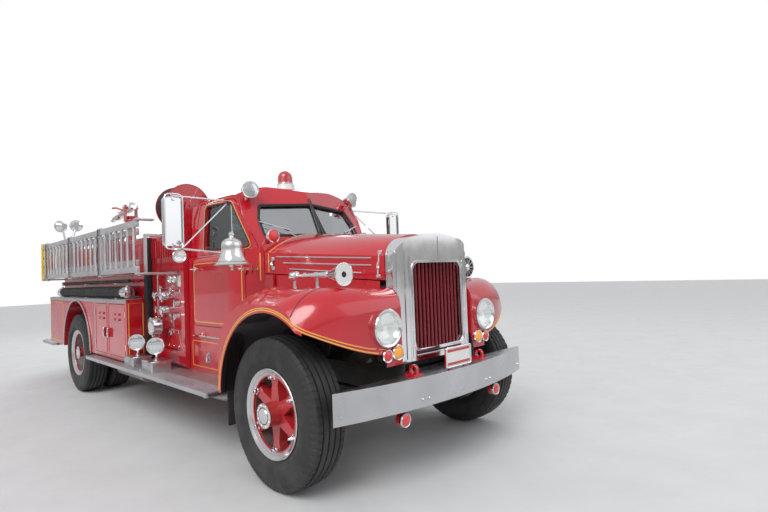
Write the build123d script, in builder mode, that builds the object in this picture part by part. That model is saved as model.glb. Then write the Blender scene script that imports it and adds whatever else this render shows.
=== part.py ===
"""A bonneted fire engine of the 1950s, as an assembly of named pieces, in millimetres.

+X points forward, +Y to the left and +Z up. The origin is on the ground, in the middle
of the vehicle's length and width. Most pieces are drawn on the right-hand side, where Y
is negative, and mirrored.
"""
from build123d import *
from math import cos, radians, sin
import os

os.makedirs("parts", exist_ok=True)

# Whole vehicle
overall_length = 7950
front_overhang = 780
wheelbase = 4908
front_x = overall_length / 2 - front_overhang
rear_x = front_x - wheelbase
tail_x = -overall_length / 2
tailboard_length = 790

# Tyres and wheels
tyre_radius = 535
tyre_width = 284
tread_half = 120
rim_radius = 300
rim_wall = 18
front_tyre_y = 1045
rear_outer_y = 1016
dual_spacing = 316
hub_radius = 95
spindle_radius = 44
seat_gap = 0.3
hub_bore = spindle_radius + seat_gap
drum_radius = 205
spoke_count = 6

# Steering
kingpin_y = 860
kingpin_radius = 21
steering_arm = 200
axle_drop = 65

# Chassis frame
rail_outer_y = 430
rail_flange = 75
rail_height = 220
rail_top = 830
rail_low = rail_top - rail_height
rail_wall = 8
spring_width = 70
spring_thick = 55
spring_front_y = 392
spring_front_z = 530
spring_rear_y = 475
rail_front_x = front_x + 600
rail_rear_x = tail_x + tailboard_length

# Bumper
bumper_half_width = 1115
bumper_end_x = front_x + 623
bumper_nose_x = front_x + front_overhang
bumper_low = 546
bumper_top = 752
bumper_wall = 14

# Radiator shell and grille
shell_back_x = front_x + 450
shell_front_x = front_x + 590
shell_half_width = 430
shell_face_half = 352
shell_low = 830
shell_top = 1780
shell_wall = 26
grille_half_width = 288
grille_low = 915
grille_top = 1551
slat_count = 13
slat_width = 20

# Bonnet
hood_front_x = shell_back_x - 10
hood_rear_x = front_x - 760
hood_wall = 18
hood_gap = 8
hood_front_half = 430
hood_rear_half = 700
hood_front_top = 1775
hood_rear_top = 1868

# Front fenders
arch_x = front_x + 20
arch_z = 600
arch_radius = 640
well_depth_y = 600
fender_low = 600
fender_inner_y = 438
fender_rear_x = front_x - 664
fender_skirt_x = front_x - 655

# Cab
cab_front_x = hood_rear_x - 12
cab_rear_x = front_x - 1955
cab_half_width = 850
cowl_half_width = 700
glass_half_width = 825
glass_front_half = 520
lean_angle = 4
cab_low = 980
belt_z = 1740
roof_z = 2395
cab_wall = 50
door_front_x = front_x - 925
door_rear_x = front_x - 1870
door_low = 1030
door_top = 2235
door_gap = 6
beacon_x = front_x - 1440
beacon_radius = 104
beacon_pad = 6
door_rear_gap = 11
window_low = 1775
window_top = 2190
glass_wall = 6

# Pump house and rear body
pump_front_x = cab_rear_x - 12
pump_rear_x = front_x - 2880
pump_half_width = 900
pump_low = 584
pump_top = 2020
body_front_x = front_x - 2890
body_rear_x = tail_x + tailboard_length
body_half_width = 1150
body_low = 590
locker_top = 1293
bed_half_width = 950
bed_top = 1980
body_wall = 40
rear_arch_radius = 650
rear_arch_z = 600
locker_rear_x = rear_x + 888
locker_split_x = front_x - 3540
locker_door_low = 640
locker_door_top = 1240
locker_door_wall = 30

# Running boards and tailboard
board_outer_y = 1248
board_inner_y = 790
board_top = 584
board_wall = 40
board_front_x = front_x - 782
board_rear_x = front_x - 4092
tail_top = 560
tail_half_width = 1120

# Ladders
ladder_front_x = front_x - 2150
ladder_rear_x = body_rear_x + 230
ladder_outer_y = 1292
ladder_low = 1577
ladder_top = 2098
ladder_rail_height = 62
ladder_rail_depth = 32
rung_count = 22
rung_radius = 15


def save(piece, label):
    """Name a finished piece and write it."""
    piece.part.label = label
    export_step(piece.part, f"parts/{label}.step")


def save_pair(piece, label):
    """Write a right-hand piece and its mirror image on the left."""
    left = mirror(piece.part, about=Plane.XZ)
    for side, part in (("right", piece.part), ("left", left)):
        part.label = f"{label}_{side}"
        export_step(part, f"parts/{label}_{side}.step")


# Tyres: one section each, revolved about the axle
def tyre_axis(axle_x):
    return Axis((axle_x, 0, tyre_radius), (0, 1, 0))


for place, axle_x, centres in (("front", front_x, [front_tyre_y]),
                               ("rear", rear_x, [rear_outer_y, rear_outer_y - dual_spacing])):
    with BuildPart() as tyre:
        for centre in centres:
            with BuildSketch(Plane.YZ.offset(axle_x)):
                with BuildLine():
                    inner = [(-centre + side * 104, tyre_radius + rim_radius) for side in (-1, 1)]
                    bulge = [(-centre + side * tyre_width / 2, tyre_radius + 405) for side in (-1, 1)]
                    shoulder = [(-centre + side * tread_half, 2 * tyre_radius - 24) for side in (-1, 1)]
                    edge = [(-centre + side * (tread_half - 20), 2 * tyre_radius - 7) for side in (-1, 1)]
                    ThreePointArc(inner[0], bulge[0], shoulder[0])
                    Line(shoulder[0], edge[0])
                    ThreePointArc(edge[0], (-centre, 2 * tyre_radius), edge[1])
                    Line(edge[1], shoulder[1])
                    ThreePointArc(shoulder[1], bulge[1], inner[1])
                    Line(inner[1], inner[0])
                make_face()
            revolve(axis=tyre_axis(axle_x))
    save_pair(tyre, f"tyre_{place}")

# Wheels: cast spoke wheel with its drum, and the rims that it carries
# Columns: place, axle, rim centres, spoke plane, hub outer face, hub inner face, drum outer and inner
wheel_table = (
    ("front", front_x, [front_tyre_y], 1090, 1215, 985, 1060, 925),
    ("rear", rear_x, [rear_outer_y, rear_outer_y - dual_spacing], 880, 1130, 640, 860, 640),
)
for place, axle_x, centres, spoke_y, hub_face, hub_back, drum_face, drum_back in wheel_table:
    with BuildPart() as wheel:
        for centre in centres:
            with BuildSketch(Plane.XZ.offset(centre + 84)):
                with Locations((axle_x, tyre_radius)):
                    Circle(rim_radius - 5)
                    Circle(rim_radius - 44, mode=Mode.SUBTRACT)
            extrude(amount=14)
        # Band that joins the rims, which the spokes' tips hold
        with BuildSketch(Plane.XZ.offset(centres[-1] - 108)):
            with Locations((axle_x, tyre_radius)):
                Circle(rim_radius)
                Circle(rim_radius - rim_wall, mode=Mode.SUBTRACT)
        extrude(amount=centres[0] - centres[-1] + 216)
        with BuildSketch(Plane.XZ.offset(hub_back)):
            with Locations((axle_x, tyre_radius)):
                Circle(hub_radius)
        extrude(amount=hub_face - hub_back, taper=4)
        with BuildSketch(Plane.XZ.offset(drum_back)):
            with Locations((axle_x, tyre_radius)):
                Circle(drum_radius)
        extrude(amount=drum_face - drum_back)
        with BuildSketch(Plane.XZ.offset(spoke_y - 34)):
            with Locations((axle_x, tyre_radius)):
                with PolarLocations(0, spoke_count, start_angle=90):
                    Polygon((60, -52), (60, 52), (200, 34), (244, 46), (rim_radius - 8, 46),
                            (rim_radius - 8, -46), (244, -46), (200, -34), align=None)
        extrude(amount=68)
        # Hub cap
        with BuildSketch(Plane.XZ.offset(hub_face - 60)):
            with Locations((axle_x, tyre_radius)):
                Circle(58)
        extrude(amount=72, taper=6)
        # Bore for the spindle, and the drum's open back
        with BuildSketch(Plane.XZ.offset(drum_back)):
            with Locations((axle_x, tyre_radius)):
                Circle(hub_bore)
        extrude(amount=hub_face - drum_back - 90, mode=Mode.SUBTRACT)
        with BuildSketch(Plane.XZ.offset(drum_back)):
            with Locations((axle_x, tyre_radius)):
                Circle(drum_radius - 20)
                Circle(hub_radius - 15, mode=Mode.SUBTRACT)
        extrude(amount=drum_face - drum_back - 25, mode=Mode.SUBTRACT)
    save_pair(wheel, f"wheel_{place}")

# Steering knuckles: a fork about the axle beam's eye, a spindle, a back plate and a steering arm
eye_low = tyre_radius - 60
eye_high = tyre_radius + 60
fork_wall = 32
with BuildPart() as knuckle:
    for low in (eye_low - fork_wall - 2, eye_high + 2):
        with BuildSketch(Plane.XY.offset(low)):
            with Locations((front_x, -kingpin_y)):
                Circle(42)
            with Locations((front_x, -kingpin_y - 30)):
                Rectangle(84, 60)
        extrude(amount=fork_wall)
    with BuildSketch(Plane.XZ.offset(kingpin_y + 46)):
        with Locations((front_x, tyre_radius)):
            Rectangle(84, 2 * (60 + fork_wall + 2))
    extrude(amount=14)
    with BuildSketch(Plane.XY.offset(eye_low - fork_wall - 2)):
        with Locations((front_x, -kingpin_y)):
            Circle(kingpin_radius)
    extrude(amount=eye_high - eye_low + 2 * fork_wall + 4)
    with BuildSketch(Plane.XZ.offset(kingpin_y + 54)):
        with Locations((front_x, tyre_radius)):
            Circle(spindle_radius)
    extrude(amount=1215 - 100 - kingpin_y - 54)
    with BuildSketch(Plane.XY.offset(eye_low - fork_wall - 2)):
        with BuildLine():
            Polyline((front_x, -kingpin_y - 40), (front_x - steering_arm - 24, -kingpin_y - 24),
                     (front_x - steering_arm - 24, -kingpin_y + 24), (front_x, -kingpin_y + 40), close=True)
        make_face()
    extrude(amount=fork_wall)
save_pair(knuckle, "knuckle")

# Tie rod: it hangs below the two steering arms
tie_rod_top = eye_low - fork_wall - 2 - seat_gap
with BuildPart() as tie_rod:
    with BuildSketch(Plane.XZ.offset(-kingpin_y)):
        with Locations((front_x - steering_arm, tie_rod_top - 24)):
            Circle(18)
    extrude(amount=2 * kingpin_y)
    with BuildSketch(Plane.XY.offset(tie_rod_top - 44)):
        with Locations((front_x - steering_arm, -kingpin_y), (front_x - steering_arm, kingpin_y)):
            Circle(24)
    extrude(amount=44)
save(tie_rod, "tie_rod")

# Front axle: a dropped beam of I section with an eye at each end
with BuildPart() as front_axle:
    beam_z = tyre_radius - axle_drop
    with BuildSketch(Plane.YZ.offset(front_x - 45)):
        with BuildLine():
            Polyline((-kingpin_y + 10, tyre_radius + 40), (-kingpin_y + 90, tyre_radius + 40),
                     (-kingpin_y + 200, beam_z + 48), (kingpin_y - 200, beam_z + 48),
                     (kingpin_y - 90, tyre_radius + 40), (kingpin_y - 10, tyre_radius + 40),
                     (kingpin_y - 10, tyre_radius - 40), (kingpin_y - 90, tyre_radius - 40),
                     (kingpin_y - 200, beam_z - 48), (-kingpin_y + 200, beam_z - 48),
                     (-kingpin_y + 90, tyre_radius - 40), (-kingpin_y + 10, tyre_radius - 40), close=True)
        make_face()
    extrude(amount=90)
    for low_x in (front_x - 45, front_x + 13):
        with BuildSketch(Plane.YZ.offset(low_x)):
            with Locations((0, beam_z)):
                Rectangle(2 * kingpin_y - 440, 62)
        extrude(amount=32, mode=Mode.SUBTRACT)
    with BuildSketch(Plane.XY.offset(eye_low)):
        with Locations((front_x, -kingpin_y), (front_x, kingpin_y)):
            Circle(42)
    extrude(amount=eye_high - eye_low)
    with BuildSketch(Plane.XY.offset(eye_low)):
        with Locations((front_x, -kingpin_y), (front_x, kingpin_y)):
            Circle(kingpin_radius + 1)
    extrude(amount=eye_high - eye_low, mode=Mode.SUBTRACT)
    # Spring seats
    with BuildSketch(Plane.XY.offset(beam_z + 20)):
        with Locations((front_x, -spring_front_y), (front_x, spring_front_y)):
            Rectangle(130, spring_width + 20)
    extrude(amount=spring_front_z - beam_z - 20)
save(front_axle, "front_axle")

# Rear axle: tubes, a round middle and the fixed spindles that the hubs turn on
with BuildPart() as rear_axle:
    with BuildSketch(Plane.XZ.offset(-620)):
        with Locations((rear_x, tyre_radius)):
            Circle(66)
    extrude(amount=1240)
    for side in (-1, 1):
        with BuildSketch(Plane.XZ.offset(side * 615)):
            with Locations((rear_x, tyre_radius)):
                Circle(spindle_radius)
        extrude(amount=side * 415)
    with BuildSketch(Plane.XZ.offset(-95)):
        with Locations((rear_x, tyre_radius)):
            Circle(190)
    extrude(amount=190)
    with BuildSketch(Plane.YZ.offset(rear_x + 150)):
        with Locations((0, tyre_radius)):
            Circle(70)
    extrude(amount=110)
save(rear_axle, "rear_axle")

# Leaf springs: a bowed pack under each rail in front, and outside each rail behind
with BuildPart() as springs:
    for axle_x, half, out_y, low in ((front_x, 560, spring_front_y, spring_front_z),
                                     (rear_x, 680, spring_rear_y, tyre_radius + 66)):
        high = low + spring_thick
        rise = rail_low - low - 22 if axle_x == front_x else 70
        with BuildSketch(Plane.XZ.offset(out_y - spring_width / 2)):
            with BuildLine():
                ThreePointArc((axle_x - half, low + rise), (axle_x, low), (axle_x + half, low + rise))
                Line((axle_x + half, low + rise), (axle_x + half, low + rise + 22))
                ThreePointArc((axle_x + half, low + rise + 22), (axle_x, high), (axle_x - half, low + rise + 22))
                Line((axle_x - half, low + rise + 22), (axle_x - half, low + rise))
            make_face()
        extrude(amount=spring_width)
    mirror(about=Plane.XZ)
save(springs, "leaf_springs")

# Chassis frame: two channel rails, their cross members and the rear spring hangers
spring_end_z = tyre_radius + 66 + 70
with BuildPart() as frame:
    rail_length = rail_front_x - rail_rear_x
    with BuildSketch(Plane.YZ.offset(rail_rear_x)):
        with Locations((-rail_outer_y + rail_flange / 2, rail_top - rail_height / 2)):
            Rectangle(rail_flange, rail_height)
        with Locations((-rail_outer_y + rail_flange / 2 + rail_wall, rail_top - rail_height / 2)):
            Rectangle(rail_flange, rail_height - 2 * rail_wall, mode=Mode.SUBTRACT)
    extrude(amount=rail_length)
    for end in (rear_x - 680, rear_x + 680):
        with BuildSketch(Plane.XZ.offset(rail_outer_y)):
            with Locations((end, (spring_end_z + 22 + rail_top - 40) / 2)):
                Rectangle(90, rail_top - 40 - spring_end_z - 22)
        extrude(amount=spring_rear_y + spring_width / 2 - rail_outer_y)
    mirror(about=Plane.XZ)
    for cross_x, low, high in ((front_x + 310, 640, 700), (front_x - 560, 640, 700),
                               (front_x - 1500, 765, rail_top), (front_x - 2500, 765, rail_top),
                               (front_x - 3700, 765, rail_top), (front_x - 5700, 765, rail_top),
                               (rail_rear_x + 50, 640, rail_top)):
        with BuildSketch(Plane.XY.offset(low)):
            with Locations((cross_x, 0)):
                Rectangle(80, 2 * (rail_outer_y - rail_wall) + 4)
        extrude(amount=high - low)
save(frame, "frame")

# Engine, as one plain block, and the gearbox and propeller shaft behind it
engine_front_x = shell_back_x - 190
engine_rear_x = front_x - 600
engine_low = 700
with BuildPart() as engine:
    with BuildSketch(Plane.XY.offset(engine_low)):
        with Locations(((engine_rear_x + engine_front_x) / 2, 0)):
            Rectangle(engine_front_x - engine_rear_x, 480)
    extrude(amount=1420 - engine_low)
save(engine, "engine_block")

shaft_front = Vector(engine_rear_x - 520, 0, 690)
shaft_rear = Vector(rear_x + 263, 0, tyre_radius + 12)
with BuildPart() as driveline:
    with BuildSketch(Plane.YZ.offset(engine_rear_x)):
        with Locations((0, 760)):
            RectangleRounded(360, 300, 60)
    extrude(amount=-530, taper=6)
    with BuildSketch(Plane(origin=shaft_front, z_dir=shaft_rear - shaft_front)):
        Circle(45)
    extrude(amount=(shaft_rear - shaft_front).length)
save(driveline, "driveline")

# Exhaust: a silencer under the right-hand lockers, its pipe forward and its tail
muffler_x = front_x - 3700
muffler_y = 370 - body_half_width
muffler_z = 370
muffler_half = 450
muffler_radius = 95
pipe_radius = 38
pipe_inner_y = -230
with BuildPart() as exhaust:
    with BuildSketch(Plane.YZ.offset(muffler_x - muffler_half)):
        with Locations((muffler_y, muffler_z)):
            Circle(muffler_radius)
    extrude(amount=2 * muffler_half)
    with BuildSketch(Plane.YZ.offset(muffler_x - muffler_half - 90)):
        with Locations((muffler_y, muffler_z)):
            Circle(pipe_radius)
            Circle(pipe_radius - 4, mode=Mode.SUBTRACT)
    extrude(amount=90)
    with BuildLine():
        FilletPolyline((muffler_x + muffler_half, muffler_y, muffler_z), (front_x - 1400, muffler_y, muffler_z),
                       (front_x - 1000, pipe_inner_y, muffler_z + 40),
                       (front_x - 450, pipe_inner_y, muffler_z + 50),
                       (front_x - 450, pipe_inner_y, engine_low), radius=90)
    with BuildSketch(Plane(origin=(muffler_x + muffler_half, muffler_y, muffler_z), z_dir=(1, 0, 0))):
        Circle(pipe_radius)
    sweep()
    with BuildSketch(Plane.XY.offset(muffler_z)):
        with Locations((muffler_x + 300, muffler_y + 20), (muffler_x - 300, muffler_y + 20)):
            Rectangle(40, 30)
    extrude(amount=body_low - muffler_z)
save(exhaust, "exhaust")

# Bumper: a bowed channel with a flat top shelf, open behind and below
with BuildPart() as bumper:
    with BuildSketch(Plane.XY.offset(bumper_low)):
        with BuildLine():
            ThreePointArc((bumper_end_x, -bumper_half_width), (bumper_nose_x, 0),
                          (bumper_end_x, bumper_half_width))
            Line((bumper_end_x, bumper_half_width), (rail_front_x, bumper_half_width - 20))
            Line((rail_front_x, bumper_half_width - 20), (rail_front_x, -bumper_half_width + 20))
            Line((rail_front_x, -bumper_half_width + 20), (bumper_end_x, -bumper_half_width))
        make_face()
    extrude(amount=bumper_top - bumper_low)
    with BuildSketch(Plane.XY.offset(bumper_low)):
        with BuildLine():
            ThreePointArc((rail_front_x - 10, -bumper_half_width + 75), (bumper_nose_x - bumper_wall, 0),
                          (rail_front_x - 10, bumper_half_width - 75))
            Line((rail_front_x - 10, bumper_half_width - 75), (rail_front_x - 10, -bumper_half_width + 75))
        make_face()
    extrude(amount=bumper_top - bumper_low - bumper_wall, mode=Mode.SUBTRACT)
save(bumper, "bumper")

# Bumper fittings: tow eyes on the shelf, red lamps below it and a blank plate
low_lamp_y = 560
low_lamp_z = 480
low_lamp_x = front_x + 705
tow_eye_y = 405
tow_eye_radius = 24
tow_eye_x = front_x + 668
tow_eye_z = bumper_top + 40
with BuildPart() as bumper_fittings:
    with BuildSketch(Plane.XY.offset(bumper_top)):
        with Locations((tow_eye_x, -tow_eye_y)):
            RectangleRounded(110, 90, 16)
    extrude(amount=16)
    with BuildSketch(Plane.XZ.offset(tow_eye_y - 13)):
        with BuildLine():
            Line((tow_eye_x - 36, bumper_top + 10), (tow_eye_x + 36, bumper_top + 10))
            Line((tow_eye_x + 36, bumper_top + 10), (tow_eye_x + 36, tow_eye_z))
            ThreePointArc((tow_eye_x + 36, tow_eye_z), (tow_eye_x, tow_eye_z + 36), (tow_eye_x - 36, tow_eye_z))
            Line((tow_eye_x - 36, tow_eye_z), (tow_eye_x - 36, bumper_top + 10))
        make_face()
        with Locations((tow_eye_x, tow_eye_z)):
            Circle(tow_eye_radius, mode=Mode.SUBTRACT)
    extrude(amount=26)
    # Red lamps hung below the shelf on short stems
    with BuildSketch(Plane.YZ.offset(low_lamp_x - 40)):
        with Locations((-low_lamp_y, low_lamp_z)):
            Circle(48)
    extrude(amount=52, taper=5)
    with BuildSketch(Plane.XY.offset(low_lamp_z + 30)):
        with Locations((low_lamp_x - 18, -low_lamp_y)):
            Circle(11)
    extrude(amount=bumper_top - bumper_wall - low_lamp_z - 30)
    mirror(about=Plane.XZ)
    with BuildSketch(Plane.YZ.offset(front_x + 752)):
        with Locations((0, 842)):
            RectangleRounded(310, 150, 12)
    extrude(amount=10)
    with BuildSketch(Plane.XY.offset(bumper_top)):
        with Locations((front_x + 745, -90), (front_x + 745, 90)):
            Rectangle(14, 24)
    extrude(amount=100)
save(bumper_fittings, "bumper_fittings")

# Radiator shell: a bowed front with an arched top, open behind, and the opening for the grille
arch_shoulder = shell_top - 190
with BuildPart() as shell:
    with BuildSketch(Plane.XY.offset(shell_low)):
        with BuildLine():
            Line((shell_back_x, -shell_half_width), (shell_back_x, shell_half_width))
            Line((shell_back_x, shell_half_width), (shell_back_x + 30, shell_half_width))
            ThreePointArc((shell_back_x + 30, shell_half_width), (shell_front_x - 18, shell_face_half + 42),
                          (shell_front_x, shell_face_half - 20))
            ThreePointArc((shell_front_x, shell_face_half - 20), (shell_front_x + 16, 0),
                          (shell_front_x, -shell_face_half + 20))
            ThreePointArc((shell_front_x, -shell_face_half + 20), (shell_front_x - 18, -shell_face_half - 42),
                          (shell_back_x + 30, -shell_half_width))
            Line((shell_back_x + 30, -shell_half_width), (shell_back_x, -shell_half_width))
        make_face()
    extrude(amount=shell_top + 20 - shell_low)
    with BuildSketch(Plane.YZ.offset(shell_back_x - 10)):
        with BuildLine():
            Line((-shell_half_width - 5, shell_low), (shell_half_width + 5, shell_low))
            Line((shell_half_width + 5, shell_low), (shell_half_width + 5, arch_shoulder))
            ThreePointArc((shell_half_width + 5, arch_shoulder), (392, shell_top - 92), (290, shell_top - 38))
            ThreePointArc((290, shell_top - 38), (150, shell_top - 15), (0, shell_top))
            ThreePointArc((0, shell_top), (-150, shell_top - 15), (-290, shell_top - 38))
            ThreePointArc((-290, shell_top - 38), (-392, shell_top - 92), (-shell_half_width - 5, arch_shoulder))
            Line((-shell_half_width - 5, arch_shoulder), (-shell_half_width - 5, shell_low))
        make_face()
    extrude(amount=shell_front_x - shell_back_x + 60, mode=Mode.INTERSECT)
    with BuildSketch(Plane.YZ.offset(shell_back_x - 10)):
        with BuildLine():
            inner = shell_half_width - shell_wall
            Line((-inner, shell_low - 1), (inner, shell_low - 1))
            Line((inner, shell_low - 1), (inner, arch_shoulder - 10))
            ThreePointArc((inner, arch_shoulder - 10), (368, shell_top - 112), (280, shell_top - 66))
            ThreePointArc((280, shell_top - 66), (0, shell_top - shell_wall - 8), (-280, shell_top - 66))
            ThreePointArc((-280, shell_top - 66), (-368, shell_top - 112), (-inner, arch_shoulder - 10))
            Line((-inner, arch_shoulder - 10), (-inner, shell_low - 1))
        make_face()
    extrude(amount=shell_front_x - 30 - shell_back_x + 10, mode=Mode.SUBTRACT)
    with BuildSketch(Plane.YZ.offset(shell_front_x - 60)):
        with Locations((0, (grille_low + grille_top) / 2)):
            RectangleRounded(2 * grille_half_width, grille_top - grille_low, 60)
    extrude(amount=100, mode=Mode.SUBTRACT)
    # Hinge rod along the bonnet's centre line, from the shell to the cab
    hinge_front = Vector(hood_front_x, 0, hood_front_top)
    hinge_line = Vector(hood_rear_x, 0, hood_rear_top) - hinge_front
    rod_start = hinge_front + hinge_line * ((hood_front_x - shell_back_x - 5) / (hood_front_x - hood_rear_x))
    rod_end = hinge_front + hinge_line * ((hood_front_x - cab_front_x - 0.5) / (hood_front_x - hood_rear_x))
    with BuildSketch(Plane(origin=rod_start, z_dir=rod_end - rod_start)):
        Circle(hood_gap / 2 - seat_gap)
    extrude(amount=(rod_end - rod_start).length)
save(shell, "radiator_shell")

# Grille: upright slats between two bars that seat on the inside of the shell
grille_x = shell_front_x - 30
slat_pitch = 2 * grille_half_width / slat_count
with BuildPart() as grille:
    with BuildSketch(Plane.XY.offset(grille_low - 24)):
        for i in range(slat_count):
            with Locations((grille_x - 14, (i - (slat_count - 1) / 2) * slat_pitch)):
                RectangleRounded(28, slat_width, 8)
    extrude(amount=grille_top - grille_low + 48)
    for z in (grille_low - 14, grille_top + 14):
        with BuildSketch(Plane.YZ.offset(grille_x - 24)):
            with Locations((0, z)):
                Rectangle(2 * grille_half_width + 30, 22)
        extrude(amount=24)
save(grille, "grille")

# Radiator: its core stands on the frame rails and carries the shell
radiator_depth = 120
with BuildPart() as radiator:
    for width, low, high in ((2 * shell_half_width, 1000, 1390), (2 * shell_half_width - 90, rail_top, 1610)):
        with BuildSketch(Plane.XY.offset(low)):
            with Locations((shell_back_x - radiator_depth / 2, 0)):
                Rectangle(radiator_depth, width)
        extrude(amount=high - low)
save(radiator, "radiator")

# Bonnet: two halves that meet at the centre line, each a loft of two sections of lines and arcs
# Columns: station, half width, centre height, shoulder height, low edge
hood_sections = (
    (hood_front_x, hood_front_half, hood_front_top, 1610, 1430),
    (hood_rear_x, hood_rear_half, hood_rear_top, 1700, 1520),
)
with BuildPart() as hood:
    for x, half, top, shoulder, low in hood_sections:
        with BuildSketch(Plane.YZ.offset(x)):
            with BuildLine():
                ThreePointArc((-hood_gap / 2, top), (-half * 0.66, top - 42), (-half, shoulder))
                Line((-half, shoulder), (-half, low))
                Line((-half, low), (-half + hood_wall, low))
                Line((-half + hood_wall, low), (-half + hood_wall, shoulder - 6))
                ThreePointArc((-half + hood_wall, shoulder - 6), (-half * 0.66 + 10, top - 42 - hood_wall),
                              (-hood_gap / 2, top - hood_wall))
                Line((-hood_gap / 2, top - hood_wall), (-hood_gap / 2, top))
            make_face()
    loft(ruled=True)
save_pair(hood, "hood")

# Headlamps and the small lamps below them, in the noses of the fenders
# Columns: forward of the front axle, y, height, radius, length
front_lamp_table = ((530, 597, 1101, 121, 84), (540, 493, 920, 50, 66), (540, 600, 910, 42, 66))
with BuildPart() as front_lamps:
    for forward, y, height, radius, length in front_lamp_table:
        with BuildSketch(Plane.YZ.offset(front_x + forward)):
            with Locations((-y, height)):
                Circle(radius)
        extrude(amount=length)
    mirror(about=Plane.XZ)
save(front_lamps, "front_lamps")

# Front fenders: sections along Y of lines and arcs, with the wheel arch cut through
# Columns: y, front, nose height, crown front, crown height, crown rear, rear shoulder height, rear
fender_sections = (
    (fender_inner_y, front_x + 596, 1230, front_x + 430, 1378, front_x - 300, 1180, fender_rear_x),
    (840, front_x + 560, 1210, front_x + 330, 1400, front_x - 160, 1130, fender_rear_x),
    (1080, front_x + 476, 1150, front_x + 240, 1372, front_x - 120, 1040, fender_skirt_x - 7),
    (1212, front_x + 395, 1080, front_x + 130, 1292, front_x - 60, 980, fender_skirt_x),
)
with BuildPart() as fender:
    for y, nose_x, nose_z, top_front, top_z, top_rear, back_z, back_x in fender_sections:
        with BuildSketch(Plane.XZ.offset(y)):
            with BuildLine():
                Line((back_x, fender_low), (back_x, back_z))
                ThreePointArc((back_x, back_z),
                              (back_x + 0.30 * (top_rear - back_x), back_z + 0.72 * (top_z - back_z)),
                              (top_rear, top_z))
                Line((top_rear, top_z), (top_front, top_z))
                ThreePointArc((top_front, top_z),
                              (nose_x - 0.26 * (nose_x - top_front), nose_z + 0.68 * (top_z - nose_z)),
                              (nose_x, nose_z))
                Line((nose_x, nose_z), (nose_x, 800))
                Line((nose_x, 800), (back_x, fender_low))
            make_face()
    loft()
    with BuildSketch(Plane.XZ.offset(well_depth_y)):
        with Locations((front_x + 20, arch_z)):
            Circle(arch_radius + 15)
    extrude(amount=1180 - well_depth_y, mode=Mode.SUBTRACT)
    with BuildSketch(Plane.XZ.offset(well_depth_y)):
        with Locations((arch_x, arch_z)):
            Circle(arch_radius)
    extrude(amount=800, mode=Mode.SUBTRACT)
    # The inner wall stops above the frame rail
    with BuildSketch(Plane.XY.offset(0)):
        with Locations((front_x, -well_depth_y / 2)):
            Rectangle(1400, well_depth_y + 10)
    extrude(amount=rail_top, mode=Mode.SUBTRACT)
    # Side strips that close the gap below the bonnet
    for x, half, low in ((hood_front_x, hood_front_half, 1430), (hood_rear_x, hood_rear_half, 1520)):
        with BuildSketch(Plane.YZ.offset(x)):
            with Locations((-half + hood_wall / 2, (1240 + low - hood_gap) / 2)):
                Rectangle(hood_wall, low - hood_gap - 1240)
    loft(ruled=True)
    with BuildSketch(Plane.XY.offset(rail_top)):
        with Locations((shell_back_x - radiator_depth / 2, -shell_half_width + 20)):
            Rectangle(radiator_depth + 6, 60)
    extrude(amount=shell_top - rail_top, mode=Mode.SUBTRACT)
    # Apron between the skirt and the cab
    with BuildSketch(Plane.XZ.offset(hood_rear_half - hood_wall)):
        with Locations(((cab_front_x + fender_skirt_x + 15) / 2, (fender_low + 1500) / 2)):
            Rectangle(fender_skirt_x + 15 - cab_front_x, 1500 - fender_low)
    extrude(amount=hood_wall)
    # Room for the cab's front
    with BuildSketch(Plane.XY.offset(board_top)):
        with Locations((cab_front_x - 50, -cowl_half_width / 2)):
            Rectangle(100 + 2 * seat_gap, cowl_half_width + 96)
    extrude(amount=shell_top - board_top, mode=Mode.SUBTRACT)
    # Mud flap hung on the rear skirt
    with BuildSketch(Plane.YZ.offset(fender_skirt_x + 1)):
        with Locations((-1000, (330 + fender_low + 60) / 2)):
            Rectangle(280, fender_low + 60 - 330)
    extrude(amount=8)
    mirror(about=Plane.XZ)
    add(front_lamps.part, mode=Mode.SUBTRACT)
save(fender, "front_fenders")


# Cab: lower body and greenhouse from one side profile and two cross sections
# The two windscreen planes, each through three points on the right-hand pane
screen_low = Vector(front_x - 800, 0, 1870)
screen_high = Vector(front_x - 1030, 0, 2250)
screen_side = Vector(front_x - 932, -595, 1845)


def screen_plane(side, inset):
    """Plane of the right (-1) or left (1) windscreen pane, facing forward, moved inward."""
    outer = Vector(screen_side.X, -side * screen_side.Y, screen_side.Z)
    normal = (outer - screen_low).cross(screen_high - screen_low) * side
    normal = normal.normalized()
    return Plane(origin=screen_low - normal * inset, z_dir=normal)


def cab_plan(half, front_half, front, bend, inset):
    """Plan outline of the cab: sides that bow in towards the front."""
    rear = cab_rear_x - 200
    middle = half - inset - 0.26 * (half - front_half)
    Line((front, -front_half + inset), (front, front_half - inset))
    ThreePointArc((front, front_half - inset), ((front + bend) / 2, middle), (bend, half - inset))
    Line((bend, half - inset), (rear, half - inset))
    Line((rear, half - inset), (rear, -half + inset))
    Line((rear, -half + inset), (bend, -half + inset))
    ThreePointArc((bend, -half + inset), ((front + bend) / 2, -middle), (front, -front_half + inset))


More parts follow.
